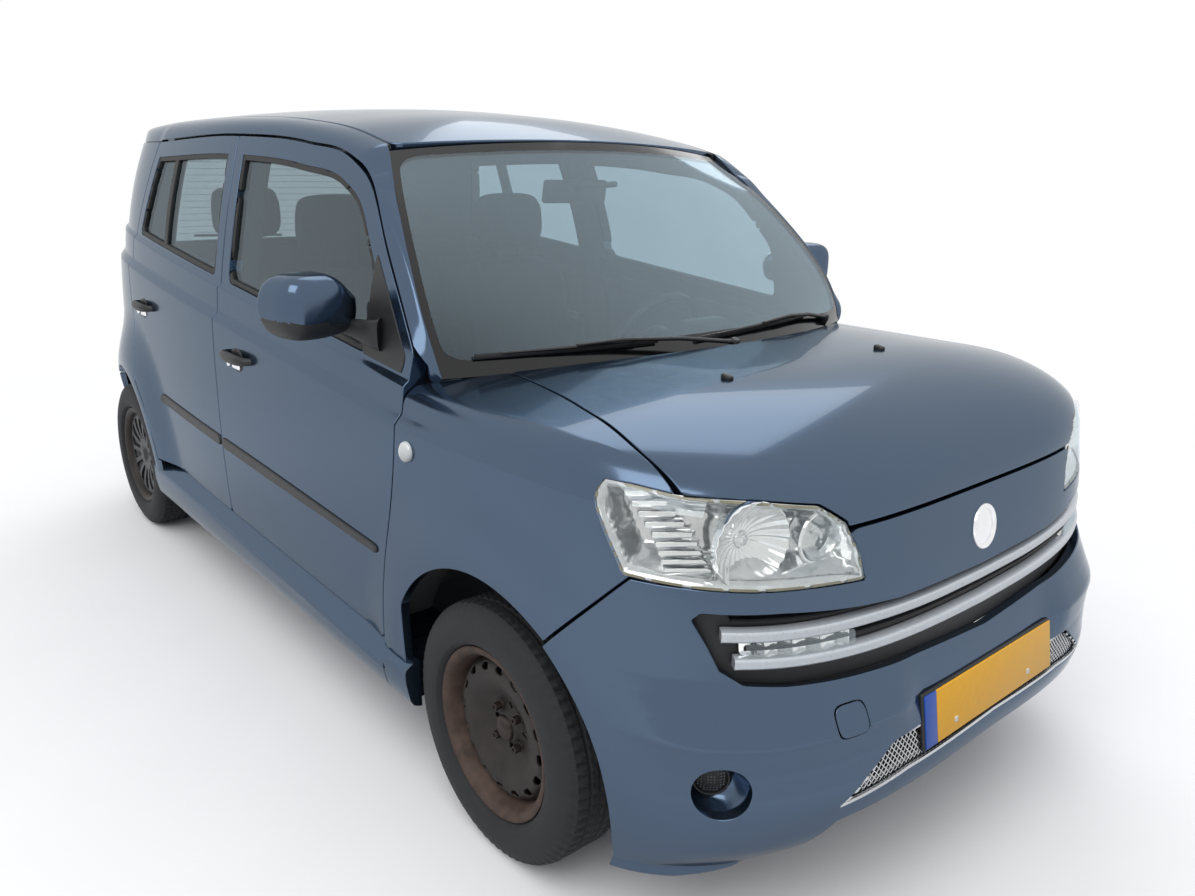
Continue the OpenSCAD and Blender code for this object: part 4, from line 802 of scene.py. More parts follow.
# Window seals, sail and divider
UP_ROWS = np.arange(40, 71, 0.75)
SEAL_OVER = 2
SEAL_WIDE = 15
SEAL_XS = {"front": spread(B_LINE - 60, A_LINE, 60), "rear": REAR_XS}
for end, _, window, _ in DOORS:
    seal = patch(
        side_surface(3.0), SEAL_XS[end], UP_ROWS,
        lambda p: both(window(p) + SEAL_OVER, SEAL_WIDE - window(p)),
        30.0, edge=3.0, inward=IN_RIGHT, back_mark=0,
    )
    pair(end + "_window_seal_{}", seal, end + "_door_{}", [RUBBER], slot="trim")
divider = patch(
    side_surface(4.0), spread(DIVIDER_X - 24, DIVIDER_X + 24, 8), UP_ROWS,
    lambda p: both(rear_window(p) - 2, DIVIDER_W / 2 - np.abs(p[:, 0] - DIVIDER_X)), 30.0, inward=IN_RIGHT,
    back_mark=0,
)
pair("rear_window_divider_{}", divider, "rear_door_{}", [RUBBER], slot="trim")


def sail_field(p):
    x, z = p[:, 0], p[:, 2]
    return both(inside(FRONT_OUTLINE, x, z) - 30, x - SAIL_X + 8, z - belt_z(x) - 14, soft=12)


sail = patch(
    side_surface(-2.5), spread(SAIL_X - 20, A_LINE, 30), UP_ROWS, sail_field, 6.0, inward=IN_RIGHT, back_mark=0,
)
pair("mirror_sail_{}", sail, "front_door_{}", [BLACK], slot="trim")

# Door glass
GLASS_ZS = spread(1010, DOOR_TOP, 26)
GLASS_XS = {"front": spread(B_LINE - 60, A_LINE, 40), "rear": spread(REAR_AXLE + 60, B_LINE, 40)}
GLASS_DEEP = 12.0
GLASS_GAP = 0.3


def glass_field(window, p):
    """The window's opening, without the divider's place."""
    beside = np.abs(p[:, 0] - DIVIDER_X) - DIVIDER_W / 2
    return both(window(p), beside) - GLASS_GAP


for end, _, window, _ in DOORS:
    glass = patch(
        side_glass(GLASS_DEEP), GLASS_XS[end], GLASS_ZS, lambda p: glass_field(window, p),
        5.0, edge=0.6, inward=IN_RIGHT, back_mark=0,
    )
    pair(end + "_glass_{}", glass, end + "_door_{}", [GLASS], slot="glass", nodes=[f"glass_{end}_{{}}"])

# Rear quarters
TAIL_LAMP = [[618, 700], [800, 730], [760, 1010], [606, 990]]
TAIL_LAMP_X = REAR_AXLE - 250
QUARTER_ENDS = [0.0, 34.0, 42.0, 47.0, 53.0, 76.0]
QUARTER_TURN = 0.8
GATE_HALF = 585
GATE_FOOT = 22
GATE_LEAN = 85
QUARTER_CORNER = 0.4


def gate_edge(z):
    """Half width of the tailgate, narrower at its foot and its top."""
    foot = GATE_FOOT * smooth((1000 - z) / 300)
    return GATE_HALF - foot - GATE_LEAN * smooth((z - 1050) / 500)


def tail_lamp_field(p):
    return both(inside(TAIL_LAMP, np.abs(p[:, 1]), p[:, 2]), TAIL_LAMP_X - p[:, 0], soft=24)


def quarter_surface(k, v):
    """k runs from the tailgate at 0 to the door at 1; the rows follow the crease and the window ledge."""
    x = lerp(TAIL, REAR_START, k)
    for _ in range(3):
        z = row_z(x, v, 328.0, DOOR_TOP - 15, QUARTER_ENDS)
        near = clip((REAR_START - rear_edge(z) - 24) / (REAR_START - rear_x(z)))
        share = lerp(QUARTER_TURN, near, clip((k - QUARTER_CORNER) / (1 - QUARTER_CORNER)))
        side_turn = np.degrees(np.arccos(share ** (REAR_POWER / 2)))
        middle = math.degrees(math.acos(QUARTER_TURN ** (REAR_POWER / 2)))
        corner_turn = lerp(back_angle(gate_edge(z) - 14, z), middle, clip(k / QUARTER_CORNER))
        p = back_point(-np.where(k < QUARTER_CORNER, corner_turn, side_turn), z)
        x = p[..., 0]
    return p


def rear_arch(p):
    return np.hypot(p[:, 0] - REAR_AXLE, p[:, 2] - AXLE_Z) - ARCH_R


def quarter_field(p):
    x, a, z = p[:, 0], np.abs(p[:, 1]), p[:, 2]
    low = np.where(x < REAR_AXLE, z - QUARTER_LOW, FAR)
    top = DOOR_TOP - 16 - z
    gate = np.where(x < REAR_AXLE - 100, a - gate_edge(z) - SHUT_GAP, FAR)
    lamp = -tail_lamp_field(p) - 1
    return both(-inside(REAR_OUTLINE, x, z) - SHUT_GAP, rear_arch(p), low, top, gate, lamp)


quarter = patch(quarter_surface, spread(0, 1, 64), np.arange(0, 77), quarter_field, 36.0, inward=IN_RIGHT)


# Side rail over the doors and down the windscreen pillar
def rail_path():
    """Door-side and roof-side edges of the rail, with how far each place is down the pillar."""
    edge_xs = np.concatenate([spread(REAR_AXLE - 286, A_LINE - 700, 7), [260, 360, 455]])
    door_xs = np.concatenate([edge_xs, [548, 610, 680, 750, 810, 858]])
    vs = [0.86, 0.66, 0.44, 0.24, 0.1, 0.0]
    roof = np.concatenate(
        [stack(edge_xs, ditch(edge_xs), roof_z(edge_xs, ditch(edge_xs))), screen_edge(np.array(vs))]
    )
    place = np.arange(len(door_xs), dtype=float)
    fine = np.arange(0, len(door_xs) - 1 + 1e-9, 0.125)
    xs = curve(np.stack([place, door_xs], -1), fine)
    rows = [curve(np.stack([place, roof[:, k]], -1), fine) for k in range(3)]
    over = fine <= len(edge_xs) - 1
    rows[1] = np.where(over, ditch(rows[0]), rows[1])
    rows[2] = np.where(over, roof_z(rows[0], rows[1]), rows[2])
    rise = SHUT_GAP + lerp(2, 9, smooth((xs - A_LINE + 500) / 150))
    behind = xs < REAR_TOP_X - SHUT_GAP
    z = np.where(behind, DOOR_TOP - 14, door_top_z(xs) + rise)
    door = stack(xs, side_y(xs, z) - np.where(behind, 4, 0), z)
    return door, np.stack(rows, -1), clip((fine - 9) / 4), xs


def loft(sections, caps=True, mark=0):
    """A skin through closed sections with the same number of points."""
    sections = np.asarray(sections, float)
    rows, cols = sections.shape[:2]
    at = np.arange(rows * cols).reshape(rows, cols)
    nxt = np.roll(at, -1, 1)
    quads = np.stack([at[:-1].ravel(), nxt[:-1].ravel(), nxt[1:].ravel(), at[1:].ravel()], -1)
    solid = Solid().add(sections.reshape(-1, 3), quads, None, mark)
    if caps:
        for row, turn in ((0, 1), (rows - 1, -1)):
            ring = at[row][::turn]
            middle = sections[row].mean(0)
            fan = np.stack([np.roll(np.arange(cols), -1), np.arange(cols), np.full(cols, cols)], -1)
            solid.add(np.concatenate([sections.reshape(-1, 3)[ring], [middle]]), fan, None, mark)
    return solid


def rail_solid():
    door, roof, post, xs = rail_path()
    flip = np.array([1.0, -1.0, 1.0])
    d, r = door * flip, roof * flip
    drop = 0.15 * (door[:, 1] - roof[:, 1])
    rise = (roof[:, 2] - door[:, 2] - drop) / (1 - 0.15 * 0.26)
    over_door = stack(lerp(d[:, 0], r[:, 0], 0.5), d[:, 1] + 0.26 * rise, d[:, 2] + rise)
    ahead = stack(lerp(d[:, 0], r[:, 0], 0.84), d[:, 1] + 3, lerp(d[:, 2], r[:, 2], 0.5))
    corner = lerp(over_door, ahead, smooth(post)[:, None])
    din = d + stack(lerp(0, 2, post), lerp(44, 52, post), np.where(xs < REAR_AXLE, -14, lerp(4, 9, post)))
    rin = r + stack(lerp(0, -34, post), -4, lerp(-44, -34, post))
    ring = [din, rin]
    for w in np.linspace(1, 0, 15):
        ring.append((1 - w) ** 2 * d + 2 * w * (1 - w) * corner + w * w * r)
    return loft(np.stack(ring, 1))


rail = rail_solid()

# Sill with its skirt, and the linings of the wheel arches
LINING_R = ARCH_R + 7


def sill_solid():
    xs = np.concatenate([spread(-1002, -940, 3), spread(-900, 740, 20), [770, 792]])
    sections = []
    for x in xs:
        top = float(door_bottom(x)) - SHUT_GAP
        knots = [
            (788, top), (799, top - 2), (802, top - 6), (804, top - 6), (825, top - 23), (846, top - 40),
            (848, top - 45), (848, top - 58), (847, 290), (842, 262), (836, 236), (828, 222), (815, 216),
            (785, 214), (640, 214), (640, top),
        ]
        sections.append([(x, -a, z) for a, z in knots])
    return loft(sections)


def skirt_end():
    """Short end of the skirt ahead of the door, below the wing."""
    low = [
        (824, 334), (845, 321), (847.5, 313), (847, 290), (842, 262), (836, 236), (828, 222), (815, 216),
        (700, 214), (700, 334),
    ]
    thin = [(max(a, 806.0), z) for a, z in low]
    body_part = loft([[(x, -a, z) for a, z in low] for x in (784, 820, 850, 866)])
    return body_part.join(loft([[(x, -a, z) for a, z in thin] for x in (866, 878, 890, 901)]))


def arch_lining(axle, start, end, inner, skin):
    """Dark lining between a wheel house and the body side, from one angle to another."""
    sections = []
    for q in np.radians(np.linspace(start, end, 45)):
        x = axle + LINING_R * math.cos(q)
        z = AXLE_Z + LINING_R * math.sin(q)
        outer = float(side_y(np.array([x]), np.array([z]))[0]) - skin
        away = np.array([math.cos(q), 0.0, math.sin(q)]) * 4
        near, far = np.array([x, -inner, z]), np.array([x, -outer, z])
        sections.append([near, far, far + away, near + away])
    return loft(sections)


# Front wings
WING_LOW = 330.0
CREASE_FROM = 0.7
CREASE_TO = 0.8
SHOULDER_FROM = 0.86
SHOULDER_TO = 1.14
LAMP_OUTLINE = [
    [850, 946], [744, 942], [701, 932], [606, 924], [493, 906], [440, 869], [409, 810], [397, 757], [482, 763],
    [623, 771], [709, 779], [768, 786], [850, 792],
]
WING_OUTLINE_TAIL = [[1800, 1200], [1800, 784], [1575, 784], [1396, 596], [1200, 496], [1200, 0], [660, 0]]


def lamp_field(p):
    """Positive inside a headlamp's opening."""
    front = inside(LAMP_OUTLINE, np.abs(p[:, 1]), p[:, 2])
    return both(front, p[:, 0] - curve(LAMP_REAR_ROWS, p[:, 2]))


def front_arch(p):
    """Positive outside the front wheel opening."""
    ring = np.hypot(p[:, 0] - FRONT_AXLE, p[:, 2] - AXLE_Z) - ARCH_R
    return np.maximum(ring, A_LINE + 20 - p[:, 0])


def wing_inner(x):
    return np.maximum(
        shut_y(x) + SHUT_GAP,
        HOOD_SWEEP_HALF * (np.maximum(0, HOOD_REAR_MID + 4 - x) / HOOD_SWEEP) ** (1 / HOOD_SWEEP_POWER),
    )


def wing_surface(x, v):
    """v runs from 0 at the bottom to 1 at the shoulder and 2 at the hood line."""
    ys = side_y(x, np.full_like(x, 950.0))
    zd = dome_z(x, ys)
    zs = zd - 40
    yc = side_y(x, zd - 10)
    ye = yc - 44
    yi = np.minimum(wing_inner(x) - 16, ye - 4)
    zc = np.minimum(crease_z(x), zs - 34)
    share = clip(v / SHOULDER_FROM)
    below = lerp(WING_LOW, zc - 16, share / CREASE_FROM)
    across = lerp(zc - 16, zc + 16, (share - CREASE_FROM) / (CREASE_TO - CREASE_FROM))
    above = lerp(zc + 16, zs, (share - CREASE_TO) / (1 - CREASE_TO))
    z_side = np.where(share < CREASE_FROM, below, np.where(share < CREASE_TO, across, above))
    y_side = side_y(x, z_side)
    b = clip((v - SHOULDER_FROM) / (SHOULDER_TO - SHOULDER_FROM))
    y_a, z_a = side_y(x, zs), zs
    z_e = dome_z(x, ye)
    y_b = (1 - b) ** 2 * y_a + 2 * b * (1 - b) * yc + b * b * ye
    z_b = (1 - b) ** 2 * z_a + 2 * b * (1 - b) * (zd - 2) + b * b * z_e
    f = clip((v - SHOULDER_TO) / (2 - SHOULDER_TO))
    y_t = lerp(ye, yi, f)
    z_t = dome_z(x, y_t)
    y = np.where(v < SHOULDER_FROM, y_side, np.where(v < SHOULDER_TO, y_b, y_t))
    z = np.where(v < SHOULDER_FROM, z_side, np.where(v < SHOULDER_TO, z_b, z_t))
    return stack(x, -y, z)


WING_OUTLINE = np.concatenate(
    [
        stack(front_edge(spread(340, DOOR_CORNER, 16)) + SHUT_GAP, spread(340, DOOR_CORNER, 16), 0)[:, :2],
        [[A_LINE + 6, 1200]], WING_OUTLINE_TAIL,
    ]
)


def wing_field(p):
    x, a, z = p[:, 0], np.abs(p[:, 1]), p[:, 2]
    hood_line = np.where(z > 880, a - wing_inner(x), FAR)
    return both(inside(WING_OUTLINE, x, z), front_arch(p), -lamp_field(p) - 1, hood_line)


WING_XS = np.concatenate([spread(A_LINE - 110, 1180, 34), spread(1190, 1650, 46)])
WING_VS = np.concatenate(
    [spread(0, 0.58, 24), spread(0.602, 0.688, 6), spread(0.7, 0.86, 6), spread(0.88, 1.14, 12), spread(1.2, 2, 10)]
)
wing = patch(wing_surface, WING_XS, WING_VS, wing_field, 22.0, centre=(1200.0, -300.0, 600.0))

pair("quarter_{}", quarter, "body", [PAINT, INNER], slot="paint", nodes=["body_side_{}"])
pair("side_rail_{}", rail, "body", [PAINT], slot="paint")
pair("sill_{}", sill_solid(), "body", [PAINT], slot="paint", angle=28)
pair("skirt_end_{}", skirt_end(), "body", [PAINT], slot="paint", angle=28)
pair("front_arch_lining_{}", arch_lining(FRONT_AXLE, 14, 158, 740.0, 16.0), "body", [LINING], slot="trim", angle=40)
pair("rear_arch_lining_{}", arch_lining(REAR_AXLE, 9, 171, 700.0, 30.0), "body", [LINING], slot="trim", angle=40)
pair("wing_{}", wing, "body", [PAINT, BLACK], slot="paint", shared=["fenders"])


# Hood
def hood_surface(k, q):
    """k runs across and q from the rear edge at 0 over the dome start at 1 to the nose at 2."""
    f = clip(q)
    x_flat = lerp(hood_rear(k * 600), DOME_START, f)
    turn = np.radians(clip(q - 1) * 89)
    u = np.sin(turn) ** (2 / DOME_POWER)
    nose_line = np.full_like(k, NOSE_H)
    x1 = DOME_START + (nose_at(k * 700, nose_line) - DOME_START) * u
    a = k * shut_y(np.where(q < 1, x_flat, x1))
    x_dome = DOME_START + (nose_at(a, nose_line) - DOME_START) * u
    z_dome = NOSE_H + (hood_top(a) - NOSE_H) * np.maximum(np.cos(turn), 0) ** (2 / DOME_POWER)
    x = np.where(q < 1, x_flat, x_dome)
    return stack(x, a, np.where(q < 1, hood_top(a), z_dome))


def hood_field(p):
    x, a, z = p[:, 0], np.abs(p[:, 1]), p[:, 2]
    return both(shut_y(x) - a, x - hood_rear(a), z - NOSE_H - 0.5, -lamp_field(p) - SHUT_GAP)


HOOD_QS = np.concatenate([spread(0, 0.95, 16), 1 + spread(0.0, 0.25, 14), 1 + spread(0.27, 1, 34)])
hood = patch(hood_surface, spread(-1.0, 1.0, 64), HOOD_QS, hood_field, 24.0, centre=(1300.0, 0.0, 500.0))
build("hood", hood, "hood_lid", [PAINT, BLACK], slot="paint", nodes=["hood"])


# Roof
GATE_TOP_X = float(rear_x(1560.0))
DITCH_GAP = 9.0
EDGE_XS = np.concatenate([spread(REAR_AXLE - 286, A_LINE - 700, 7), [260, 360, 455]])


def roof_surface(k, i):
    mid = lerp(GATE_TOP_X + SHUT_GAP, A_LINE - 318, i / 10)
    edge = np.interp(i, np.arange(11), EDGE_XS)
    x = lerp(mid, edge, k * k)
    a = k * (ditch(x) - 0.3)
    return stack(x, a, roof_z(x, np.abs(a)))


def roof_field(p):
    x, a = p[:, 0], np.abs(p[:, 1])
    k = a / np.maximum(ditch(x), 1)
    rear = x - lerp(GATE_TOP_X + SHUT_GAP, EDGE_XS[0], k * k)
    front = lerp(A_LINE - 318, EDGE_XS[-1], k * k) - x
    return both(ditch(x) - DITCH_GAP - a, rear - 0.5, front - 0.5, soft=30)


def ditch_strip():
    """Soft strip that lies in the joint between the roof and the side rail."""
    xs = np.concatenate([EDGE_XS[:1] + 4, np.linspace(EDGE_XS[0] + 30, 440, 60), [458]])
    y = ditch(xs) - DITCH_GAP / 2
    path = stack(xs, -y, roof_z(xs, y) - 5)
    ring = [(-6.0, -8.0), (-6.0, 0.0), (-4.0, 2.6), (0.0, 3.4), (4.0, 2.6), (6.0, 0.0), (6.0, -8.0)]
    return loft(np.stack([path + np.array([0.0, across, up]) for across, up in ring], 1))


pair("roof_strip_{}", ditch_strip(), "body", [RUBBER], slot="trim")
roof = patch(roof_surface, spread(-1, 1, 48), spread(0, 10, 60), roof_field, 28.0, edge=4.0)
build("roof", roof, "body", [PAINT, INNER], slot="paint", nodes=["roof_panel"])

# Windscreen with its dark border
def screen_place(p):
    """Share across and up the glass."""
    v = clip((p[:, 2] - 1015) / 495)
    for _ in range(3):
        a = np.abs(p[:, 1]) / screen_half(v)
        v = (p[:, 2] - 1022 + 15 * a * a) / (498 - 15 * a * a)
    return a, v


def screen_clear(p):
    """Positive inside the clear part of the glass."""
    a, v = screen_place(p)
    return both((1 - a) * screen_half(v) - 18, v * 700 - 50, (1 - v) * 700 - 24, soft=60)


SCREEN_US = spread(-1, 1, 72)
SCREEN_VS = spread(0, 1, 44)
screen = patch(screen_point, SCREEN_US, SCREEN_VS, screen_clear, 5.0, edge=0, back_mark=0)
build("windscreen", screen, "body", [SCREEN], slot="glass", nodes=["windscreen"])
border = patch(screen_point, SCREEN_US, SCREEN_VS, lambda p: -screen_clear(p), 5.0, edge=0, back_mark=0)
build("screen_border", border, "body", [FRIT], slot="trim")

# Front bumper
FACE_CENTRE = (1200.0, 0.0, 500.0)
SLOT = [
    [0, 690], [299, 697], [413, 708], [574, 727], [702, 735], [714, 722], [696, 677], [680, 630], [648, 604],
    [579, 595], [479, 588], [277, 576], [0, 561],
]
INTAKE = [[0, 374], [310, 366], [494, 342], [356, 441], [0, 441]]
SHOULDER_ROWS = [
    [166, 0], [390, 0], [440, 7], [486, 20], [494, 23], [502, 22.5], [540, 13], [578, 5], [610, 0.5], [640, 0],
    [900, 0],
]
BUMPER = [
    [0, 330], [340, 318], [480, 308], [530, 245], [600, 180], [700, 165], [900, 165], [900, 790], [700, 778],
    [480, 761], [394, 755], [436, 854.5], [0, 854.5],
]
BUMPER_SIDE = [[1402, 590], [1579, 778], [1635, 858], [1950, 858], [1950, 100], [1200, 100], [1200, 486]]
FOG = np.array([1741.0, -682.0, 403.0])
FOG_TURN = math.radians(42)
FOG_AXIS = np.array([math.cos(FOG_TURN), -math.sin(FOG_TURN), 0.0])
FOG_R = 54.0
TOW_Y = (-501, -431)
TOW_Z = (488, 545)


def mirror_poly(half):
    """Outline over both sides from the points of one half."""
    return half + [[-a, b] for a, b in reversed(half) if a > 0]


def fog_field(p, r):
    q = np.stack([p[:, 0], -np.abs(p[:, 1]), p[:, 2]], -1)
    d = q - FOG
    along = d @ FOG_AXIS
    return np.where(p[:, 0] > FRONT_AXLE, r - np.linalg.norm(d - along[:, None] * FOG_AXIS, axis=1), -FAR)


SLOT_FULL = mirror_poly(SLOT)
INTAKE_FULL = mirror_poly(INTAKE)
BUMPER_FULL = mirror_poly(BUMPER)


def bumper_point(t, z, inset=0.0):
    """Front face with the bumper's shoulder, which dies out behind the number plate."""
    a = np.abs(face_point(t, z)[..., 1])
    swell = np.interp(z, *np.transpose(SHOULDER_ROWS)) * smooth((a - 235) / 110) * smooth((812 - a) / 90)
    return face_point(t, z, inset - swell)


def tow_field(p):
    y, z = p[:, 1], p[:, 2]
    shape = both(y - TOW_Y[0], TOW_Y[1] - y, z - TOW_Z[0], TOW_Z[1] - z, soft=22)
    return np.where(p[:, 0] > FRONT_AXLE, shape, -FAR)


def bumper_field(p):
    x, y, z = p[:, 0], p[:, 1], p[:, 2]
    return both(
        -tow_field(p) - 1.6, inside(BUMPER_FULL, y, z), inside(BUMPER_SIDE, x, z), -inside(SLOT_FULL, y, z),
        -inside(INTAKE_FULL, y, z), front_arch(p), -fog_field(p, FOG_R), -lamp_field(p) - 1,
    )


FACE_TS = np.concatenate([spread(-85, -40, 60), spread(-38, 38, 44), spread(40, 85, 60)])
BUMPER_ZS = np.concatenate([spread(166, 300, 14), spread(308, 856, 68)])
bumper = patch(bumper_point, FACE_TS, BUMPER_ZS, bumper_field, 22.0, centre=FACE_CENTRE)
build("front_bumper", bumper, "body", [PAINT, BLACK], slot="paint", nodes=["front_bumper"])
tow_cap = patch(
    bumper_point, spread(-30, -15, 30), spread(482, 551, 30), tow_field, 8.0, edge=1.5, centre=FACE_CENTRE,
)
build("tow_cap", tow_cap, "body", [PAINT, BLACK], slot="paint")

# Rear bumper, tailgate and lamps
def rear_bumper_field(p):
    x, a, z = p[:, 0], np.abs(p[:, 1]), p[:, 2]
    edge = float(gate_edge(GATE_LOW)) + SHUT_GAP
    top = np.where(a > edge, QUARTER_LOW - SHUT_GAP - z, GATE_LOW - SHUT_GAP - z)
    step = np.where(z > QUARTER_LOW - SHUT_GAP, edge - a, FAR)
    return both(top, step, rear_arch(p), REAR_AXLE - 120 - x, z - 212)


rear_bumper = patch(
    back_point, np.concatenate([spread(-85, -40, 38), spread(-38, 38, 28), spread(40, 85, 38)]),
    spread(210, 640, 40), rear_bumper_field, 22.0,
)
build("rear_bumper", rear_bumper, "body", [PAINT, BLACK], slot="paint", nodes=["rear_bumper"])


def gate_surface(k, v):
    zm = lerp(GATE_LOW, GATE_HIGH, v)
    a = k * gate_edge(zm)
    z = lerp(GATE_LOW, GATE_HIGH - ROOF_CROWN * (a / DITCH_Y) ** 2, v)
    t = back_angle(np.abs(a), z)
    x = back_point(t, z)[..., 0]
    return stack(x, a, z)


GATE_GLASS_HALF = 500
GATE_GLASS_TOP_HALF = 440
GATE_GLASS_LOW = 1085
GATE_GLASS_TOP = 1475
GATE_WINDOW = [
    [-GATE_GLASS_HALF, GATE_GLASS_LOW], [GATE_GLASS_HALF, GATE_GLASS_LOW],
    [GATE_GLASS_TOP_HALF, GATE_GLASS_TOP], [-GATE_GLASS_TOP_HALF, GATE_GLASS_TOP],
]
AHEAD = (1.0, 0.0, 0.0)


def gate_hole(p):
    """Positive inside the tailgate's window."""
    y, z = p[:, 1], p[:, 2]
    window = inside(GATE_WINDOW, y, z)
    return both(window, GATE_GLASS_HALF - np.abs(y), GATE_GLASS_TOP - z, z - GATE_GLASS_LOW, soft=70)


def gate_field(p):
    a, z = np.abs(p[:, 1]), p[:, 2]
    return both(gate_edge(z) - a, z - GATE_LOW, GATE_HIGH - ROOF_CROWN * (a / DITCH_Y) ** 2 - z, -gate_hole(p))


gate = patch(gate_surface, spread(-1, 1, 60), spread(0, 1, 60), gate_field, 44.0, inward=AHEAD)
build("tailgate", gate, "tail_lid", [PAINT, INNER], slot="paint", nodes=["tailgate"])


def gate_glass_surface(k, v):
    return gate_surface(k, v) + np.array([8.0, 0, 0])


gate_glass = patch(
    gate_glass_surface, spread(-1, 1, 44), spread(0.4, 1, 30), lambda p: gate_hole(p) - GLASS_GAP, 5.0, edge=0.6,
    inward=AHEAD, back_mark=0,
)
build("tailgate_glass", gate_glass, "tail_lid", [GLASS], slot="glass", nodes=["tailgate_glass"])
TAIL_TS = spread(-75, -30, 54)
TAIL_ZS = spread(690, 1020, 44)
TAIL_SPLIT = 782.0
TAIL_GAP = 1.5


def tail_lens(way):
    """The tail lamp's lens above its split, for way 1, or below it, for way -1."""
    return patch(
        back_point, TAIL_TS, TAIL_ZS,
        lambda p: both(tail_lamp_field(p), way * (p[:, 2] - TAIL_SPLIT) - TAIL_GAP, soft=6),
        38.0, edge=3.0, inward=IN_RIGHT,
    )


pair("tail_lamp_{}", tail_lens(1), "body", [RED, BLACK], slot="lamp_red", shared=["tail_lamps"])
pair("tail_lamp_pale_{}", tail_lens(-1), "body", [LENS_PALE, BLACK], slot="lamp")


# Tailgate fittings
def gate_at(y, z, out=0.0):
    """Point on the tailgate's outer surface."""
    y, z = (np.asarray(v, float) for v in np.broadcast_arrays(y, z))
    return stack(back_point(back_angle(np.abs(y), z), z)[..., 0] - out, y, z)


gate_grip = patch(
    lambda y, z: gate_at(y, z, 7.0), spread(-170, 170, 40), spread(930, 990, 20),
    lambda p: both(160 - np.abs(p[:, 1]), 21 - np.abs(p[:, 2] - 960), soft=24), 12.0, edge=6.0, inward=AHEAD,
    back_mark=0,
)
build("tailgate_grip", gate_grip, "tail_lid", [BLACK], slot="trim")
reflector = patch(
    lambda t, z: back_point(t, z, -2.0), spread(-60, -20, 40), spread(420, 470, 16),
    lambda p: both(690 - np.abs(p[:, 1]), np.abs(p[:, 1]) - 540, 17 - np.abs(p[:, 2] - 444), soft=14), 8.0,
    edge=2.0, inward=AHEAD, back_mark=0,
)
pair("rear_reflector_{}", reflector, "body", [RED], slot="lamp_red")


# Helpers for round and swept pieces
def frame_of(axis):
    """Two directions square to an axis."""
    axis = unit(np.asarray(axis, float))
    side_way = np.cross([0.0, 0.0, 1.0], axis)
    if np.linalg.norm(side_way) < 1e-3:
        side_way = np.array([0.0, 1.0, 0.0])
    side_way = unit(side_way)
    return axis, side_way, np.cross(axis, side_way)


def revolve(profile, origin, axis, n=48, wave=None, mark=0):
    """Turns a profile of (radius, height) about an axis; wave(angle, index) scales the radius."""
    axis, e1, e2 = frame_of(axis)
    profile = np.asarray(profile, float)
    angle = np.linspace(0, 2 * math.pi, n, endpoint=False)
    r = profile[:, 0][:, None] * np.ones(n)
    h = profile[:, 1][:, None] * np.ones(n)
    if wave is not None:
        r, h = wave(r, h, angle[None, :])
    points = np.asarray(origin, float) + r[..., None] * (
        np.cos(angle)[None, :, None] * e1 + np.sin(angle)[None, :, None] * e2
    ) + h[..., None] * axis
    return loft(points, caps=False, mark=mark)


def tube(path, radius, sides=8, flat=1.0, mark=0, caps=True):
    """A round bar along a path; radius is a number or one for each point, flat squeezes it upright."""
    path = np.asarray(path, float)
    ahead = unit(np.gradient(path, axis=0))
    up = np.array([0.0, 0.0, 1.0])
    across = np.cross(ahead, up)
    weak = np.linalg.norm(across, axis=1) < 0.05
    across[weak] = np.cross(ahead[weak], [1.0, 0.0, 0.0])
    across = unit(across)
    over = np.cross(across, ahead)
    angle = np.linspace(0, 2 * math.pi, sides, endpoint=False)
    rad = np.broadcast_to(np.asarray(radius, float), (len(path),))[:, None, None]
    ring = np.cos(angle)[None, :, None] * across[:, None] + flat * np.sin(angle)[None, :, None] * over[:, None]
    return loft(path[:, None] + rad * ring, mark=mark, caps=caps)


def block(size, centre=(0, 0, 0), round_by=3.0, steps=3, turn=None, mark=0):
    """A box with rounded edges."""
    bm = bmesh.new()
    bmesh.ops.create_cube(bm, size=1.0)
    bmesh.ops.scale(bm, vec=size, verts=bm.verts)
    bmesh.ops.bevel(bm, geom=list(bm.edges), offset=round_by, segments=steps, profile=0.5, affect="EDGES")
    bmesh.ops.triangulate(bm, faces=bm.faces)
    bm.verts.index_update()
    points = np.array([v.co for v in bm.verts])
    faces = [[v.index for v in f.verts] for f in bm.faces]
    bm.free()
    if turn is not None:
        points = points @ np.asarray(turn).T
    return Solid().add(points + np.asarray(centre, float), faces, None, mark)


def sharpened(t, power):
    """A sine or cosine raised to a power with its sign kept, for rings with squarer or rounder corners."""
    return np.sign(t) * np.abs(t) ** power


def resampled(path, count):
    """A path of points with straight runs, at even steps."""
    at = np.linspace(0, len(path) - 1, count)
    return np.stack([np.interp(at, range(len(path)), path[:, k]) for k in range(3)], -1)


def turned(about, degrees):
    return np.array(Matrix.Rotation(math.radians(degrees), 3, about))


def face_at(y, z, inset=0.0):
    """Point of the front face at a half width and height."""
    y = np.asarray(y, float)
    z = np.asarray(z, float) + 0 * y
    return stack(nose_at(np.abs(y), z) - inset, y, z)


def face_normal(y, z):
    a = face_at(y, z)
    du = face_at(np.asarray(y) + 1.0, z) - a
    dv = face_at(y, np.asarray(z) + 1.0) - a
    return unit(np.cross(du, dv))


# Headlamps: clear lens over a bright tray with a projector, a fluted bowl and a ribbed indicator
LAMP_CENTRE = (1200.0, -300.0, 700.0)
LAMP_TS = spread(-81, -14, 64)
LAMP_ZS = spread(742, 952, 44)
TRAY_EDGE = 5
TRAY_DEEP = 58
TRAY_SLOPE = 46
lens = patch(face_point, LAMP_TS, LAMP_ZS, lamp_field, 3.0, edge=2.0, centre=LAMP_CENTRE, back_mark=0)
pair("headlamp_lens_{}", lens, "body", [CLEAR], slot="lamp")


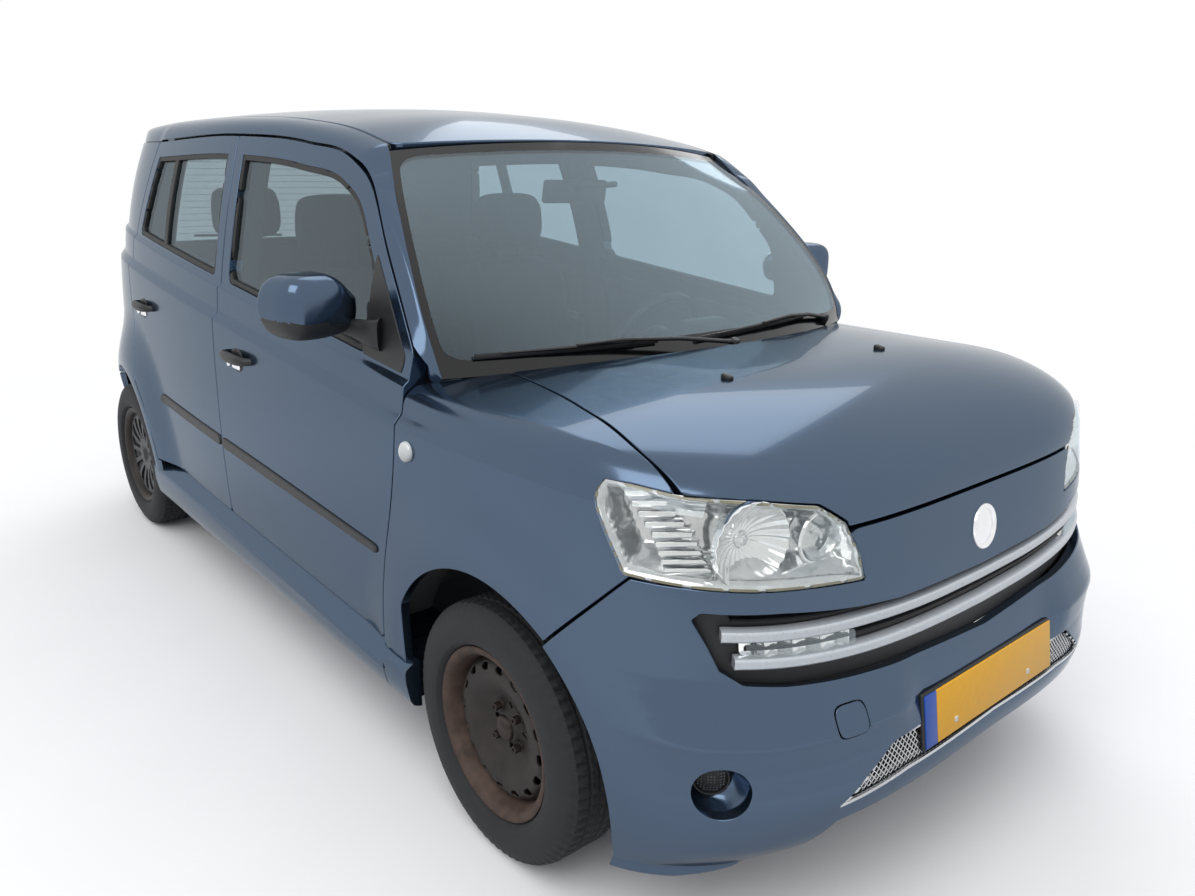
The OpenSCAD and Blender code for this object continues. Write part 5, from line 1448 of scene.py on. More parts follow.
def tray_surface(t, z):
    p = face_point(t, z)
    deep = TRAY_EDGE + TRAY_DEEP * smooth(lamp_field(p) / TRAY_SLOPE)
    return face_point(t, z, deep)


TRAY = finish_of("lamp_tray", [0.72, 0.73, 0.74], rough=0.1, metal=0.85, spread_by=0.1, grain=30.0)
TRAY_RIM = finish_of("lamp_rim", srgb("8d8468"), rough=0.4, spread_by=0.15, grain=30.0)
tray = patch(
    tray_surface, LAMP_TS, LAMP_ZS, lambda p: lamp_field(p) - 0.6, 2.0, edge=0, centre=LAMP_CENTRE, back_mark=0,
)
pair("headlamp_tray_{}", tray, "body", [TRAY], slot="lamp", shared=["headlamps"])
rim_ring = patch(
    face_under(1.6), LAMP_TS, LAMP_ZS, lambda p: both(lamp_field(p) - 0.8, 4.6 - lamp_field(p)), 3.0, edge=0,
    centre=LAMP_CENTRE, back_mark=0,
)
pair("headlamp_rim_{}", rim_ring, "body", [TRAY_RIM], slot="lamp")


def lamp_insides():
    solid = Solid()
    ahead = np.array([1.0, -0.12, 0.0])
    inner = face_at(np.array([-462.0]), np.array([836.0]), 44)[0]
    solid.join(
        revolve([(0, -30), (44, -30), (50, -6), (52, 4), (50, 7), (46, 7), (43, 0), (36, -6)], inner, ahead, 48)
    )
    solid.join(revolve([(38, -8), (34, 6), (26, 16), (14, 22), (0.5, 24)], inner, ahead, 40, mark=1))
    middle = face_at(np.array([-600.0]), np.array([845.0]), 60)[0]

    def flutes(r, h, angle):
        return r, h + 1.6 * np.sin(angle * 22) * (r / 78)

    bowl = [(0.5, -6), (9, -6), (10, 6), (13, 7), (15, -4)] + [
        (15 + 63 * s, -6 + 40 * s * s)
        for s in np.linspace(0.05, 1, 14)
    ] + [(80, 34), (80, 20)]
    solid.join(revolve(bowl, middle, (1.0, -0.2, 0.0), 132, flutes))
    for k in range(9):
        y = -690.0 - 4 * k
        z = 800.0 + 15.5 * k
        base = face_at(np.array([y]), np.array([min(z, 850.0)]), 52)[0]
        base[2] = z
        base[0] -= max(0.0, z - 858) * 0.75
        solid.join(block((26, 84 - 3.0 * k, 10), base, 3.0, 2, turned("Z", -36)))
    return solid


pair("headlamp_inside_{}", lamp_insides(), "body", [CHROME, CLEAR], slot="lamp")

# Grille: dark backing, two satin bars, end lamps and the lower screen
BAR_HALF = 10.5
END_LAMP = (418, 636)
BAR_HIGH = [[0, 665], [200, 668], [400, 677], [560, 684], [668, 690]]
BAR_LOW = [[0, 612], [200, 616], [400, 624], [560, 633], [650, 639]]


def slot_backing():
    return patch(
        face_under(26.0), FACE_TS[8:-8:2], spread(540, 750, 24),
        lambda p: inside(SLOT_FULL, p[:, 1] * 1.03, p[:, 2]) + 12, 12.0, centre=FACE_CENTRE, back_mark=0,
    )


def face_bar(rows, reach, half_high, near, far, round_by=4.0):
    """A bar across the front face, following its plan; near and far are its depths under the face."""
    ys = np.linspace(-reach, reach, 121)
    z = curve(rows, np.abs(ys))
    normal = face_normal(ys, z)
    normal[:, 2] = 0
    normal = unit(normal)
    at = face_at(ys, z)
    ring = []
    for depth, up in [
        (far, -1), (near + round_by, -1), (near + 1.2, -0.8), (near, -0.45), (near + 1.6, 0.0), (near, 0.45),
        (near + 1.2, 0.8), (near + round_by, 1), (far, 1),
    ]:
        ring.append(at - normal * depth + np.array([0, 0, half_high * up]))
    return loft(np.stack(ring, 1))


build("grille_backing", slot_backing(), "body", [BLACK], slot="trim", nodes=["grille"])
bars = face_bar(BAR_HIGH, 676, BAR_HALF, 1.0, 26.0).join(face_bar(BAR_LOW, 658, BAR_HALF, 1.0, 26.0))
build("grille_bars", bars, "body", [SILVER], slot="trim", angle=50)
louvres = Solid()
for drop, reach in ((-26, 640), (26, 660), (49, 560)):
    louvres.join(face_bar([[a, b + drop] for a, b in BAR_HIGH], reach, 3.0, 12.0, 26.0, 2.0))
build("grille_louvres", louvres, "body", [BLACK], slot="trim")


def end_lamp_field(p):
    a, z = np.abs(p[:, 1]), p[:, 2]
    return both(
        curve(BAR_HIGH, a) - BAR_HALF - z, z - curve(BAR_LOW, a) - BAR_HALF, a - END_LAMP[0], END_LAMP[1] - a,
        soft=8,
    )


END_CENTRE = (1200.0, -300.0, 500.0)
END_TS = spread(-62, -18, 44)
end_lens = patch(
    face_under(4.0), END_TS, spread(620, 690, 22), end_lamp_field, 3.0, edge=1.5, centre=END_CENTRE, back_mark=0,
)
pair("end_lamp_lens_{}", end_lens, "body", [CLEAR], slot="lamp")
end_tray = patch(
    lambda t, z: face_point(t, z, 16.0) + np.array([3.0, 0, 0]) * np.sin(t * 5.2)[..., None], END_TS,
    spread(620, 690, 16), end_lamp_field, 3.0, edge=0, centre=END_CENTRE, back_mark=0,
)
pair("end_lamp_tray_{}", end_tray, "body", [CHROME], slot="lamp")


def intake_screen():
    """Diamond screen: two families of slanted wires that follow the face."""
    solid = Solid()
    pitch = 13.0
    for lean in (-1, 1):
        for k in range(-58, 59):
            z = np.linspace(340, 446, 28)
            y = k * pitch + lean * (z - 393) * 0.9
            ok = inside(INTAKE_FULL, y, z) > -1
            runs = np.flatnonzero(np.diff(np.concatenate([[0], ok.astype(int), [0]])))
            for a, b in zip(runs[::2], runs[1::2]):
                if b - a < 5:
                    continue
                path = face_at(y[a:b:3], z[a:b:3], 12.0 + lean * 1.2)
                solid.join(tube(path, 1.5, 5, caps=False))
    return solid


build("intake_screen", intake_screen(), "body", [WIRE], slot="trim", angle=60)
intake_rim = patch(
    face_under(1.0), FACE_TS[30:-30], spread(335, 450, 60),
    lambda p: both(inside(INTAKE_FULL, p[:, 1], p[:, 2]) + 1, 6 - inside(INTAKE_FULL, p[:, 1], p[:, 2])), 6.0,
    edge=1.2, centre=FACE_CENTRE, back_mark=0,
)
build("intake_rim", intake_rim, "body", [WIRE], slot="trim")
intake_back = patch(
    face_under(34.0), FACE_TS[30:-30], spread(330, 456, 16), lambda p: inside(INTAKE_FULL, p[:, 1], p[:, 2]) + 10,
    6.0, edge=0, centre=FACE_CENTRE, back_mark=0,
)
build("intake_backing", intake_back, "body", [RUBBER], slot="trim")


# Fog lamps in dishes that open towards the middle of the nose
FOG_LAMP_R = 36.0
fog_axis, fog_across, fog_up = frame_of(FOG_AXIS)
FOG_LAMP = FOG - fog_across * 15.0 - fog_axis * 15.0


def fog_dish():
    """Skin from the round opening to the lamp, which sits to the outer side."""
    q = np.linspace(0, 2 * math.pi, 72, endpoint=False)
    ring = np.cos(q)[:, None] * fog_across + np.sin(q)[:, None] * fog_up
    rings = []
    for share in np.concatenate([[0.0], np.linspace(0.02, 1, 15)]):
        radius = lerp(FOG_R + 0.5, FOG_LAMP_R + 1.5, share)
        middle = lerp(FOG, FOG_LAMP, share)
        sink = -9 - 14 * math.sin(share * math.pi / 2) + (4 if share == 0.0 else 0.0)
        rings.append(middle + ring * radius + fog_axis * sink)
    rings.append(FOG_LAMP + ring * (FOG_LAMP_R + 1.5) - fog_axis * 40)
    return loft(rings, caps=False)


def fog_core():
    solid = Solid()
    base = FOG_LAMP - fog_axis * 22
    solid.join(
        revolve(
            [(FOG_LAMP_R, -26), (FOG_LAMP_R, 3), (FOG_LAMP_R - 2, 6), (FOG_LAMP_R - 4.5, 5.5), (FOG_LAMP_R - 6, 2)],
            base, fog_axis, 56,
        )
    )
    solid.join(revolve([(FOG_LAMP_R - 5, 1), (24, 5), (14, 8), (0.5, 9)], base, fog_axis, 48, mark=1))
    for i in range(-4, 5):
        for j in range(-4, 5):
            if math.hypot(i, j) < 4.6:
                lift = 8.5 - 0.22 * (i * i + j * j)
                at = base + fog_across * i * 5.8 + fog_up * j * 5.8
                solid.join(revolve([(2.0, 0), (2.0, lift), (0.2, lift + 0.8)], at, fog_axis, 8, mark=2))
    return solid


LAMP_DOT = finish_of("lamp_dot", srgb("6c7075"), rough=0.3, metal=0.5, spread_by=0.1, grain=200.0)
pair("fog_dish_{}", fog_dish(), "body", [PAINT], slot="paint", angle=60)
pair("fog_lamp_{}", fog_core(), "body", [BLACK, RUBBER, LAMP_DOT], slot="trim")

# Blank number plate in its holder
PLATE_YELLOW = finish_of("plate_yellow", srgb("f0b01e"), rough=0.4, spread_by=0.03, grain=80.0)
PLATE_BLUE = finish_of("plate_blue", srgb("1c4fae"), rough=0.4, spread_by=0.05, grain=80.0)
PLATE_PLACE = np.array([1880.0, 0.0, 439.0])
plate_turn = turned("Y", -9.5)


def plate_part(size, offset, mark, round_by=3.0):
    centre = PLATE_PLACE + np.asarray(plate_turn) @ np.asarray(offset, float)
    return block(size, centre, round_by, 3, plate_turn, mark)


plate = plate_part((10, 530, 120), (0, 0, 0), 0, 4.5)
plate.join(plate_part((4, 478, 110), (6, 21, 0), 1, 1.5)).join(plate_part((4, 41, 110), (6, -239.5, 0), 2, 1.5))
for y in (-150, 150):
    plate.join(plate_part((3, 12, 12), (8.5, y, -30), 3, 1.4))
WHITE_CAP = finish_of("white_cap", srgb("d8d8d4"), rough=0.4, spread_by=0.05)
build("front_plate", plate, "body", [BLACK, PLATE_YELLOW, PLATE_BLUE, WHITE_CAP], slot="trim", angle=30)

# Plain disc at the nose
DISC_Z = 769.0
disc_at = face_at(np.array([0.0]), np.array([DISC_Z]), -1.0)[0]
disc_axis = face_normal(np.array([0.0]), np.array([DISC_Z]))[0]


def oval(r, h, angle):
    return r * (1 + 0.1 * np.sin(angle) ** 2), h


disc = revolve(
    [(44, -3), (44, 1), (41, 4.5), (37, 4.5), (34, 2), (33, 0.5), (24, 3), (12, 5), (0.4, 5.6)], disc_at, disc_axis,
    72, oval,
)
build("nose_disc", disc, "body", [CHROME], slot="lamp", angle=50)


# Wheels
RIM_R = 194.0
RIM_HALF = 65.5


def wheel_axis(side_sign):
    return np.array([0.0, side_sign, 0.0])


def tyre_solid(centre, s):
    """Tyre with shoulder blocks and grooves round the tread; height runs outwards."""
    across = [-65, -67.5, -79.5, -87.5, -84.5, -79, -73.5, -64, -55] + list(np.linspace(-52, 52, 27)) + [
        55, 64, 73.5, 79, 84.5, 86.5, 87.5, 86.5, 84, 79.5, 67.5, 65,
    ]
    radius = [182, 195, 201, 229, 257, 270, 281.5, 288, 290.5] + [291.4] * 27 + [
        290.5, 288, 281.5, 270, 257, 247, 229, 215, 206, 201, 195, 182,
    ]
    profile = np.stack([radius, across], -1)
    n = 216

    def tread(r, h, angle):
        groove = np.zeros_like(r)
        for centre_h in (-34, -11.5, 11.5, 34):
            groove = np.maximum(groove, smooth((4.6 - np.abs(h - centre_h)) / 1.8))
        slant = np.sin(angle * 72 + h * 0.075)
        cut = smooth((slant - 0.55) / 0.25) * smooth((np.abs(h) - 38) / 4) * smooth((82 - np.abs(h)) / 6)
        cut = np.maximum(cut, 0.7 * smooth((np.sin(angle * 72 - h * 0.11) - 0.7) / 0.2) * (np.abs(h) < 34))
        deep = np.maximum(groove * 6.5, cut * 5.5) * smooth((r - 268) / 8)
        return r - deep, h

    return revolve(profile, centre, wheel_axis(s), n, tread)


def barrel(centre, s):
    """Rim barrel with its two flanges, seen from the outer side."""
    w = RIM_HALF
    bead = 180.0
    prof = [
        (bead - 26, -w + 6), (bead - 8, -w - 10), (RIM_R - 3, -w - 10), (RIM_R, -w - 8), (RIM_R, -w - 4),
        (bead, -w), (bead, w), (RIM_R, w + 4), (RIM_R, w + 8.5), (RIM_R - 2.5, w + 10), (bead + 4, w + 8),
        (bead - 5, w + 2), (bead - 8, w - 6), (bead - 12, w - 18), (bead - 14, 34), (bead - 20, 20),
        (bead - 26, -w + 6),
    ]
    return revolve(prof, centre, wheel_axis(s), 120)


DISC_ROWS = [
    [22, 34], [31, 33], [37, 24], [44, 19], [58, 21], [72, 27], [92, 39], [112, 48.5], [130, 50.5], [146, 49],
    [158, 38], [167, 24],
]


def disc_patch(centre, s, field, rows, r0, r1, thick, edge, rings, turns):
    """A dished disc of so many rings and turns: field takes the place in the disc's plane."""
    axis, e1, e2 = frame_of(wheel_axis(s))

    def surface(q, r):
        out = np.cos(q)[..., None] * e1 + np.sin(q)[..., None] * e2
        return np.asarray(centre) + r[..., None] * out + curve(rows, r)[..., None] * axis

    def measure(p):
        d = p - np.asarray(centre)
        return field(d @ e1, d @ e2)

    return patch(
        surface, np.linspace(0, 2 * math.pi, turns + 1), np.linspace(r0, r1, rings + 1), measure, thick, edge=edge,
        inward=-axis, centre=np.asarray(centre) - axis * 4000, back_mark=0,
    )


def ring_holes(x, y, count, radius, long, wide):
    """Distance outside a ring of oval holes that lie along the ring."""
    angle = np.arctan2(y, x)
    step = 2 * math.pi / count
    local = (np.mod(angle + step / 2, step) - step / 2) * radius
    off = np.hypot(x, y) - radius
    reach = np.maximum(np.abs(local) - (long - wide) / 2, 0)
    return np.hypot(reach, off) - wide / 2


def steel_disc(centre, s, rings, turns):
    def field(x, y):
        r = np.hypot(x, y)
        bolts = ring_holes(x, y, 4, 50, 14, 14)
        return both(ring_holes(x, y, 16, 143, 27, 17), bolts, 166.5 - r, r - 24)

    return disc_patch(centre, s, field, DISC_ROWS, 22, 168, 5.0, 1.6, rings, turns)


def hub_parts(centre, s):
    """Dust cap and wheel nuts."""
    axis, e1, e2 = frame_of(wheel_axis(s))
    solid = revolve([(30, 10), (30, 34), (27, 40), (20, 43.5), (0.5, 45)], centre, axis, 40)
    for k in range(4):
        q = math.radians(45 + 90 * k)
        at = np.asarray(centre) + 50 * (math.cos(q) * e1 + math.sin(q) * e2)
        solid.join(revolve([(13, 19), (12, 23), (9.5, 24)], at, axis, 24))
        solid.join(revolve([(9.5, 23), (9.5, 36), (8.2, 38.5), (5, 39.5), (4.6, 37), (0.4, 37)], at, axis, 6))
    return solid


TRIM_ROWS = [[0, 62], [22, 61], [30, 55], [60, 52], [100, 57], [140, 58], [165, 54], [172, 50]]


def trim_disc(centre, s):
    def field(x, y):
        r = np.hypot(x, y)
        angle = np.arctan2(y, x)
        step = 2 * math.pi / 14
        local = (np.mod(angle, step) - step / 2) * r
        gap = both(np.minimum(r * step / 2 - 9.5, 17) - np.abs(local), r - 62, 152 - r, soft=10)
        return both(-gap, 170.5 - r, r - 0.8)

    return disc_patch(centre, s, field, TRIM_ROWS, 0.5, 172, 12.0, 2.2, *TRIM_GRID)


RUST = finish_of(
    "rust_steel", srgb("493a33"), rough=0.7, metal=0.25, spread_by=0.45, grain=26.0, bump=0.5, bump_grain=200.0,
)
TRIM_PLASTIC = finish_of("wheel_trim", srgb("2a2c2f"), rough=0.4, metal=0.3, spread_by=0.12, grain=50.0)
NUT = finish_of("wheel_nut", srgb("3d3633"), rough=0.5, metal=0.8, spread_by=0.4, grain=90.0)
TRIM_GRID = (18, 126)
DISC_GRID = {"front": (18, 112), "rear": (10, 64)}
for end, x in (("front", FRONT_AXLE), ("rear", REAR_AXLE)):
    for name, s in (("left", 1.0), ("right", -1.0)):
        centre = np.array([x, s * WHEEL_Y, AXLE_Z])
        body = f"wheel_{end}_{name}"
        build(
            f"tyre_{end}_{name}_tread", tyre_solid(centre, s), body, [TYRE], slot="tyre",
            nodes=[f"tyre_{end}_{name}"], angle=24,
        )
        build(
            f"rim_barrel_{end}_{name}", barrel(centre, s), body, [RUST if end == "front" else STEEL],
            slot="rim_steel", nodes=[f"rim_{end}_{name}"], angle=50,
        )
        build(f"rim_disc_{end}_{name}", steel_disc(centre, s, *DISC_GRID[end]), body, [STEEL], slot="rim_steel")
        build(f"hub_parts_{end}_{name}", hub_parts(centre, s), body, [NUT], slot="rim_steel", angle=30)
        if end == "rear":
            build(f"wheel_trim_{name}", trim_disc(centre, s), body, [TRIM_PLASTIC], slot="trim")


# Door mirrors: wedge-shaped head with a dark underside, a foot on the sail and reflecting glass
MIRROR = np.array([600.0, -884.0, 1146.0])
MIRROR_HALF = 106.0
MIRROR_HIGH = 75.0
MIRROR_DEEP = 138.0
MIRROR_TURN = 10.0
MIRROR_POWER = 0.55
MIRROR_GLASS_HALF = 94
MIRROR_GLASS_HIGH = 58


def mirror_section(g, q):
    """Ring of the head at a share g across it, from the outer end at -1 to the inner end at 1."""
    co = sharpened(np.cos(q), MIRROR_POWER)
    si = sharpened(np.sin(q), MIRROR_POWER)
    end = max(max(1 - abs(g) ** (5.0 if g < 0 else 3.4), 0.0) ** (1 / 2.8), 0.03)
    top = MIRROR_HIGH * end * (1 - 0.62 * smooth((g - 0.1) / 0.9))
    low = MIRROR_HIGH * end * (0.98 - 0.12 * smooth((g + 0.2) / 1.2))
    front = MIRROR_DEEP * 0.58 * end * (1 - 0.25 * smooth((g - 0.3) / 0.7))
    back = MIRROR_DEEP * 0.42 * (0.85 + 0.15 * end)
    x = np.where(co > 0, co * front, co * back)
    z = np.where(si > 0, si * top, si * low)
    return stack(x, g * MIRROR_HALF, z)


def mirror_place(p):
    return p @ turned("Z", MIRROR_TURN).T + MIRROR


def mirror_head():
    q = np.linspace(0, 2 * math.pi, 64, endpoint=False)
    shares = [math.copysign(1 - (1 - abs(f)) ** 1.8, f) for f in np.linspace(-1, 1, 57)]
    solid = loft([mirror_section(g, q) for g in shares])
    for k, (points, faces) in enumerate(zip(solid.points, solid.faces)):
        middle = points[faces - faces.min()].mean(1) if k else points[faces].mean(1)
        under = middle[:, 2] < -34 - 0.1 * middle[:, 1]
        solid.marks[k] = under.astype(int)
    return solid.moved(mirror_place)


def mirror_glass():
    q = np.linspace(0, 2 * math.pi, 56, endpoint=False)
    rings = []
    for scale, x in ((1.0, -52.0), (1.0, -58.6), (0.97, -60.2), (0.6, -60.9), (0.02, -61.2)):
        y = MIRROR_GLASS_HALF * scale * sharpened(np.cos(q), MIRROR_POWER)
        z = MIRROR_GLASS_HIGH * scale * sharpened(np.sin(q), MIRROR_POWER)
        z = z * (1 - 0.26 * smooth((y / MIRROR_GLASS_HALF - 0.1) / 0.9) * (z > 0)) - 4
        rings.append(stack(x + 0 * y, y, z))
    return loft(rings, caps=False).moved(mirror_place)


def mirror_foot():
    """Dark neck that widens from the underside of the head to a broad base on the sail."""
    low = MIRROR[2] - 46
    q = np.linspace(0, 2 * math.pi, 28, endpoint=False)
    co = sharpened(np.cos(q), 0.7)
    si = sharpened(np.sin(q), 0.7)
    rows = [
        (600, -856, low - 2, 34, 20), (622, -826, low - 4, 36, 24), (648, -804, low - 8, 38, 30),
        (676, -790, low - 14, 42, 38), (700, -778, low - 18, 50, 46), (712, -768, low - 18, 58, 54),
    ]
    knots = np.array(rows, float)
    fine = np.stack(
        [
            curve(np.stack([np.arange(len(rows)), knots[:, k]], -1), np.linspace(0, len(rows) - 1, 21))
            for k in range(5)
        ],
        -1,
    )
    along = unit(np.gradient(fine[:, :3], axis=0))
    sections = []
    for (x, y, z, wide, high), way in zip(fine, along):
        across = np.array([-way[1], way[0], 0.0])
        across = across / np.linalg.norm(across)
        aside = (wide * 0.5 * co)[:, None] * across
        rise = (high * si)[:, None] * np.array([0, 0, 0.72])
        sections.append(np.array([x, y, z]) + aside + rise)
    return loft(sections)


pair("mirror_head_{}", mirror_head(), "front_door_{}", [PAINT, BLACK], slot="paint", nodes=["mirror_{}"], angle=70)
pair("mirror_glass_{}", mirror_glass(), "front_door_{}", [CHROME], slot="lamp")
pair("mirror_foot_{}", mirror_foot(), "front_door_{}", [BLACK], slot="trim", angle=60)


# Side mouldings, handles and repeaters
MOULD_Z = 575
MOULD_RISE = 0.029
MOULD_FRONT = 757
MOULD_REAR = -893
MOULD_OUT = 6.0


def moulding_z(x):
    return MOULD_Z - MOULD_RISE * (x - MOULD_FRONT)


def moulding_field(x0, x1):
    def field(p):
        x, z = p[:, 0], p[:, 2]
        half = lerp(11, 17, clip((MOULD_FRONT - x) / 700))
        return both(half - np.abs(z - moulding_z(x)), x1 - x, x - x0, soft=16)

    return field


def plain_side(inset):
    def surface(x, z):
        return stack(x, -(side_y(x, z) - inset), z)

    return surface


MOULD_ZS = spread(538, 650, 32)
MOULD_SPLIT = float(b_edge(610.0))
MOULDINGS = (
    ("front", spread(-290, 765, 90), MOULD_SPLIT + 8, MOULD_FRONT),
    ("rear", spread(-930, -270, 60), MOULD_REAR, MOULD_SPLIT - 8),
)
for end, xs, start, stop in MOULDINGS:
    strip = patch(
        plain_side(-MOULD_OUT), xs, MOULD_ZS, moulding_field(start, stop),
        8.0, edge=5.0, inward=IN_RIGHT, back_mark=0,
    )
    pair(end + "_moulding_{}", strip, end + "_door_{}", [BLACK], slot="trim")


def handle(x0, z0):
    """Pull handle: dark cup with a bright flap and a bar over it."""
    y = float(side_y(x0, z0))
    cup = revolve(
        [(0.5, 2.2), (30, 2.0), (36, 1.2), (38, -2)], (x0 - 10, -y, z0 - 8), (0, -1, 0), 36, lambda r, h,
        a: (r * (1 + 0.28 * np.cos(a) ** 2), h),
    )
    xs = np.linspace(-92, 92, 25)
    lift = 30 * (1 - (xs / 92) ** 4) ** 0.5
    path = stack(x0 + xs, -(side_y(x0 + xs, np.full_like(xs, z0)) + lift - 6), z0 + 4 + 0 * xs)
    bar = tube(path, lerp(9, 14, 1 - (xs / 92) ** 2), 14, flat=1.15)
    keys = revolve([(11, -3), (11, 3), (9, 5), (0.4, 5.4)], (x0 - 66, -(y + 6), z0 - 22), (0, -1, 0), 24, mark=1)
    flap = block((56, 8, 30), (x0 - 12, -(y + 4), z0 - 18), 3.5, 3, None, 1)
    return cup.join(bar).join(keys).join(flap)


pair("front_handle_{}", handle(-75.0, 902.0), "front_door_{}", [BLACK, CHROME], slot="trim", angle=50)
pair("rear_handle_{}", handle(-1030.0, 935.0), "rear_door_{}", [BLACK, CHROME], slot="trim", angle=50)
repeater_at = (909.0, -float(side_y(909.0, 857.0)), 857.0)
repeater = revolve([(24, -1), (24, 4), (21, 9), (14, 12.5), (0.4, 14)], repeater_at, (0.05, -1, 0.08), 36)
REPEATER_LENS = finish_of("repeater_lens", srgb("c9ccce"), rough=0.15, coat=1.0, spread_by=0.1, grain=300.0)
pair("side_repeater_{}", repeater, "body", [REPEATER_LENS], slot="lamp", angle=60)


# Cowl grille, wipers and washer jets
COWL_HALF = 636.0
COWL_RING = [(0, 976), (0, 997), (4, 1001), (30, 1002), (62, 1004), (100, 1001), (100, 976)]


def cowl_solid():
    sections = []
    for y in np.linspace(-COWL_HALF, COWL_HALF, 61):
        x = float(hood_rear(y)) - 7
        sections.append([(x - back, y, z) for back, z in COWL_RING])
    return loft(sections)


build("cowl", cowl_solid(), "body", [BLACK], slot="trim", nodes=["cowl_panel"])
slats = Solid()
for k in range(-27, 28):
    y = k * 22.0
    slats.join(block((44, 7, 5), (float(hood_rear(y)) - 42, y, 1005), 1.4, 2))
build("cowl_slats", slats, "body", [BLACK], slot="trim")


def wiper(pivot_y, start, end):
    """Arm and blade along the glass; start and end are [across, up] on it."""
    us = np.linspace(start[0], end[0], 25)
    vs = np.linspace(start[1], end[1], 25)
    blade = screen_point(us, vs, -9.0)
    spine = screen_point(us, vs, -17.0)
    solid = tube(blade, 4.2, 6, flat=1.7)
    solid.join(
        tube(spine[3:22], np.concatenate([np.linspace(2.5, 6.0, 9), np.linspace(6.0, 2.5, 10)]), 8, flat=0.8)
    )
    for k in (4, 9, 15, 20):
        solid.join(tube(np.stack([spine[k], lerp(spine[k], blade[k], 0.5), blade[k]]), 3.4, 6))
    pivot = np.array([float(hood_rear(pivot_y)) - 20, pivot_y, 1041.0])
    elbow = screen_point(us[18:19], vs[18:19], -30.0)[0]
    grip = screen_point(us[12:13], vs[12:13], -24.0)[0]
    path = np.stack([pivot, lerp(pivot, elbow, 0.5) + [0, 0, 6], elbow, lerp(elbow, grip, 0.6), grip])
    solid.join(tube(resampled(path, 17), np.linspace(8.5, 4.5, 17), 10, flat=0.7))
    solid.join(revolve([(9, -60), (11, -12), (13, -8), (13, 4), (10, 9), (0.4, 10)], pivot, (0.3, 0, 1), 20))
    return solid


build("wiper_near", wiper(20.0, (-0.9, 0.074), (-0.26, 0.058)), "body", [BLACK], slot="trim", angle=50)
build("wiper_far", wiper(560.0, (-0.08, 0.04), (0.62, 0.076)), "body", [BLACK], slot="trim", angle=50)
jets = Solid()
for y in (-310.0, 250.0):
    jets.join(
        block(
            (26, 17, 12), (1370, y, float(dome_z(np.array([1370.0]), np.array([y]))[0]) + 3), 4.0, 3,
            turned("Y", 12),
        )
    )
build("washer_jets", jets, "hood_lid", [BLACK], slot="trim")


# Rear wiper and heating lines
def rear_wiper():
    ys = np.linspace(60, -350, 25)
    zs = np.linspace(1112, 1122, 25)
    blade = gate_at(ys, zs, -3.0)
    spine = gate_at(ys, zs, 6.0)
    solid = tube(blade, 4.0, 6, flat=1.6)
    solid.join(tube(spine[2:23], 3.6, 8))
    pivot = gate_at(np.array([40.0]), np.array([1062.0]))[0]
    path = np.stack([pivot + [-14, 0, 0], pivot + [-16, -40, 14], spine[10] + [-6, 0, -4], spine[13] + [-3, 0, 0]])
    solid.join(tube(resampled(path, 13), np.linspace(8, 4.5, 13), 10))
    return solid.join(revolve([(17, -4), (17, 12), (13, 19), (0.4, 20)], pivot, (-1, 0, 0.1), 28))


build("rear_wiper", rear_wiper(), "tail_lid", [BLACK], slot="trim", angle=50)
heating = Solid()
for z in np.arange(1135.0, 1450.0, 28.0):
    reach = 430 - 0.15 * (z - 1085)
    heating.join(tube(gate_at(np.linspace(-reach, reach, 23), np.full(23, z), -13.6), 0.8, 4))
build("heating_lines", heating, "tail_lid", [IRON], slot="trim")


# Door trims on the inner faces: panel, armrest, pocket and speaker ring
TRIM_CLOTH = finish_of(
    "door_cloth", srgb("3a3d42"), rough=0.85, spread_by=0.12, grain=200.0, bump=0.4, bump_grain=900.0
)
TRIM_DEEP = 82.0


def door_trim(outline, xs, arm_x, pocket_x, speaker_x):
    trim = patch(
        side_surface(TRIM_DEEP), xs[::2], np.arange(2, 42, 2),
        lambda p: both(inside(outline, p[:, 0], p[:, 2]) - 62, belt_z(p[:, 0]) - 34 - p[:, 2], soft=40), 9.0,
        edge=5.0, inward=(0.0, -1.0, 0.0), out=-1.0, back_mark=0,
    )
    solid = Solid()

    def deep(x, z, more):
        return -(float(side_y(np.array([x]), np.array([z]))[0]) - TRIM_DEEP - more)

    solid.join(block((430, 62, 52), (arm_x, deep(arm_x, 700.0, 26), 700), 20, 4, None, 1))
    solid.join(block((460, 34, 130), (pocket_x, deep(pocket_x, 470.0, 12), 470), 12, 3, None, 1))
    pull = np.array(
        [
            [arm_x + 150, deep(arm_x, 760.0, 4), 735], [arm_x + 160, deep(arm_x, 790.0, 30), 775],
            [arm_x + 190, deep(arm_x, 840.0, 30), 830], [arm_x + 200, deep(arm_x, 860.0, 2), 862],
        ]
    )
    solid.join(tube(pull, 11, 12))
    at = (speaker_x, deep(speaker_x, 480.0, 0), 480)
    solid.join(revolve([(0.5, 2), (54, 3), (64, 9), (70, 9), (74, 2), (74, -4)], at, (0, 1, 0), 44))
    lever = (arm_x + 120, deep(arm_x, 840.0, 4), 850)
    solid.join(block((96, 12, 34), lever, 5, 3, None, 2))
    return trim, solid


TRIM_PLACES = {"front": (250.0, 180.0, 560.0), "rear": (-560.0, -600.0, -420.0)}
for end, outline, _, xs in DOORS:
    trim, arm = door_trim(outline, xs, *TRIM_PLACES[end])
    pair(end + "_door_trim_{}", trim, end + "_door_{}", [TRIM_CLOTH], slot="fabric")
    pair(end + "_door_arm_{}", arm, end + "_door_{}", [BLACK, INNER, SILVER], slot="trim", angle=40)


# Seats: stuffed pieces with crowned faces and stitched seams
SEAM_WIDE = 7.0
SEAM_DEEP = 5.0
PILLOW_END = 0.72


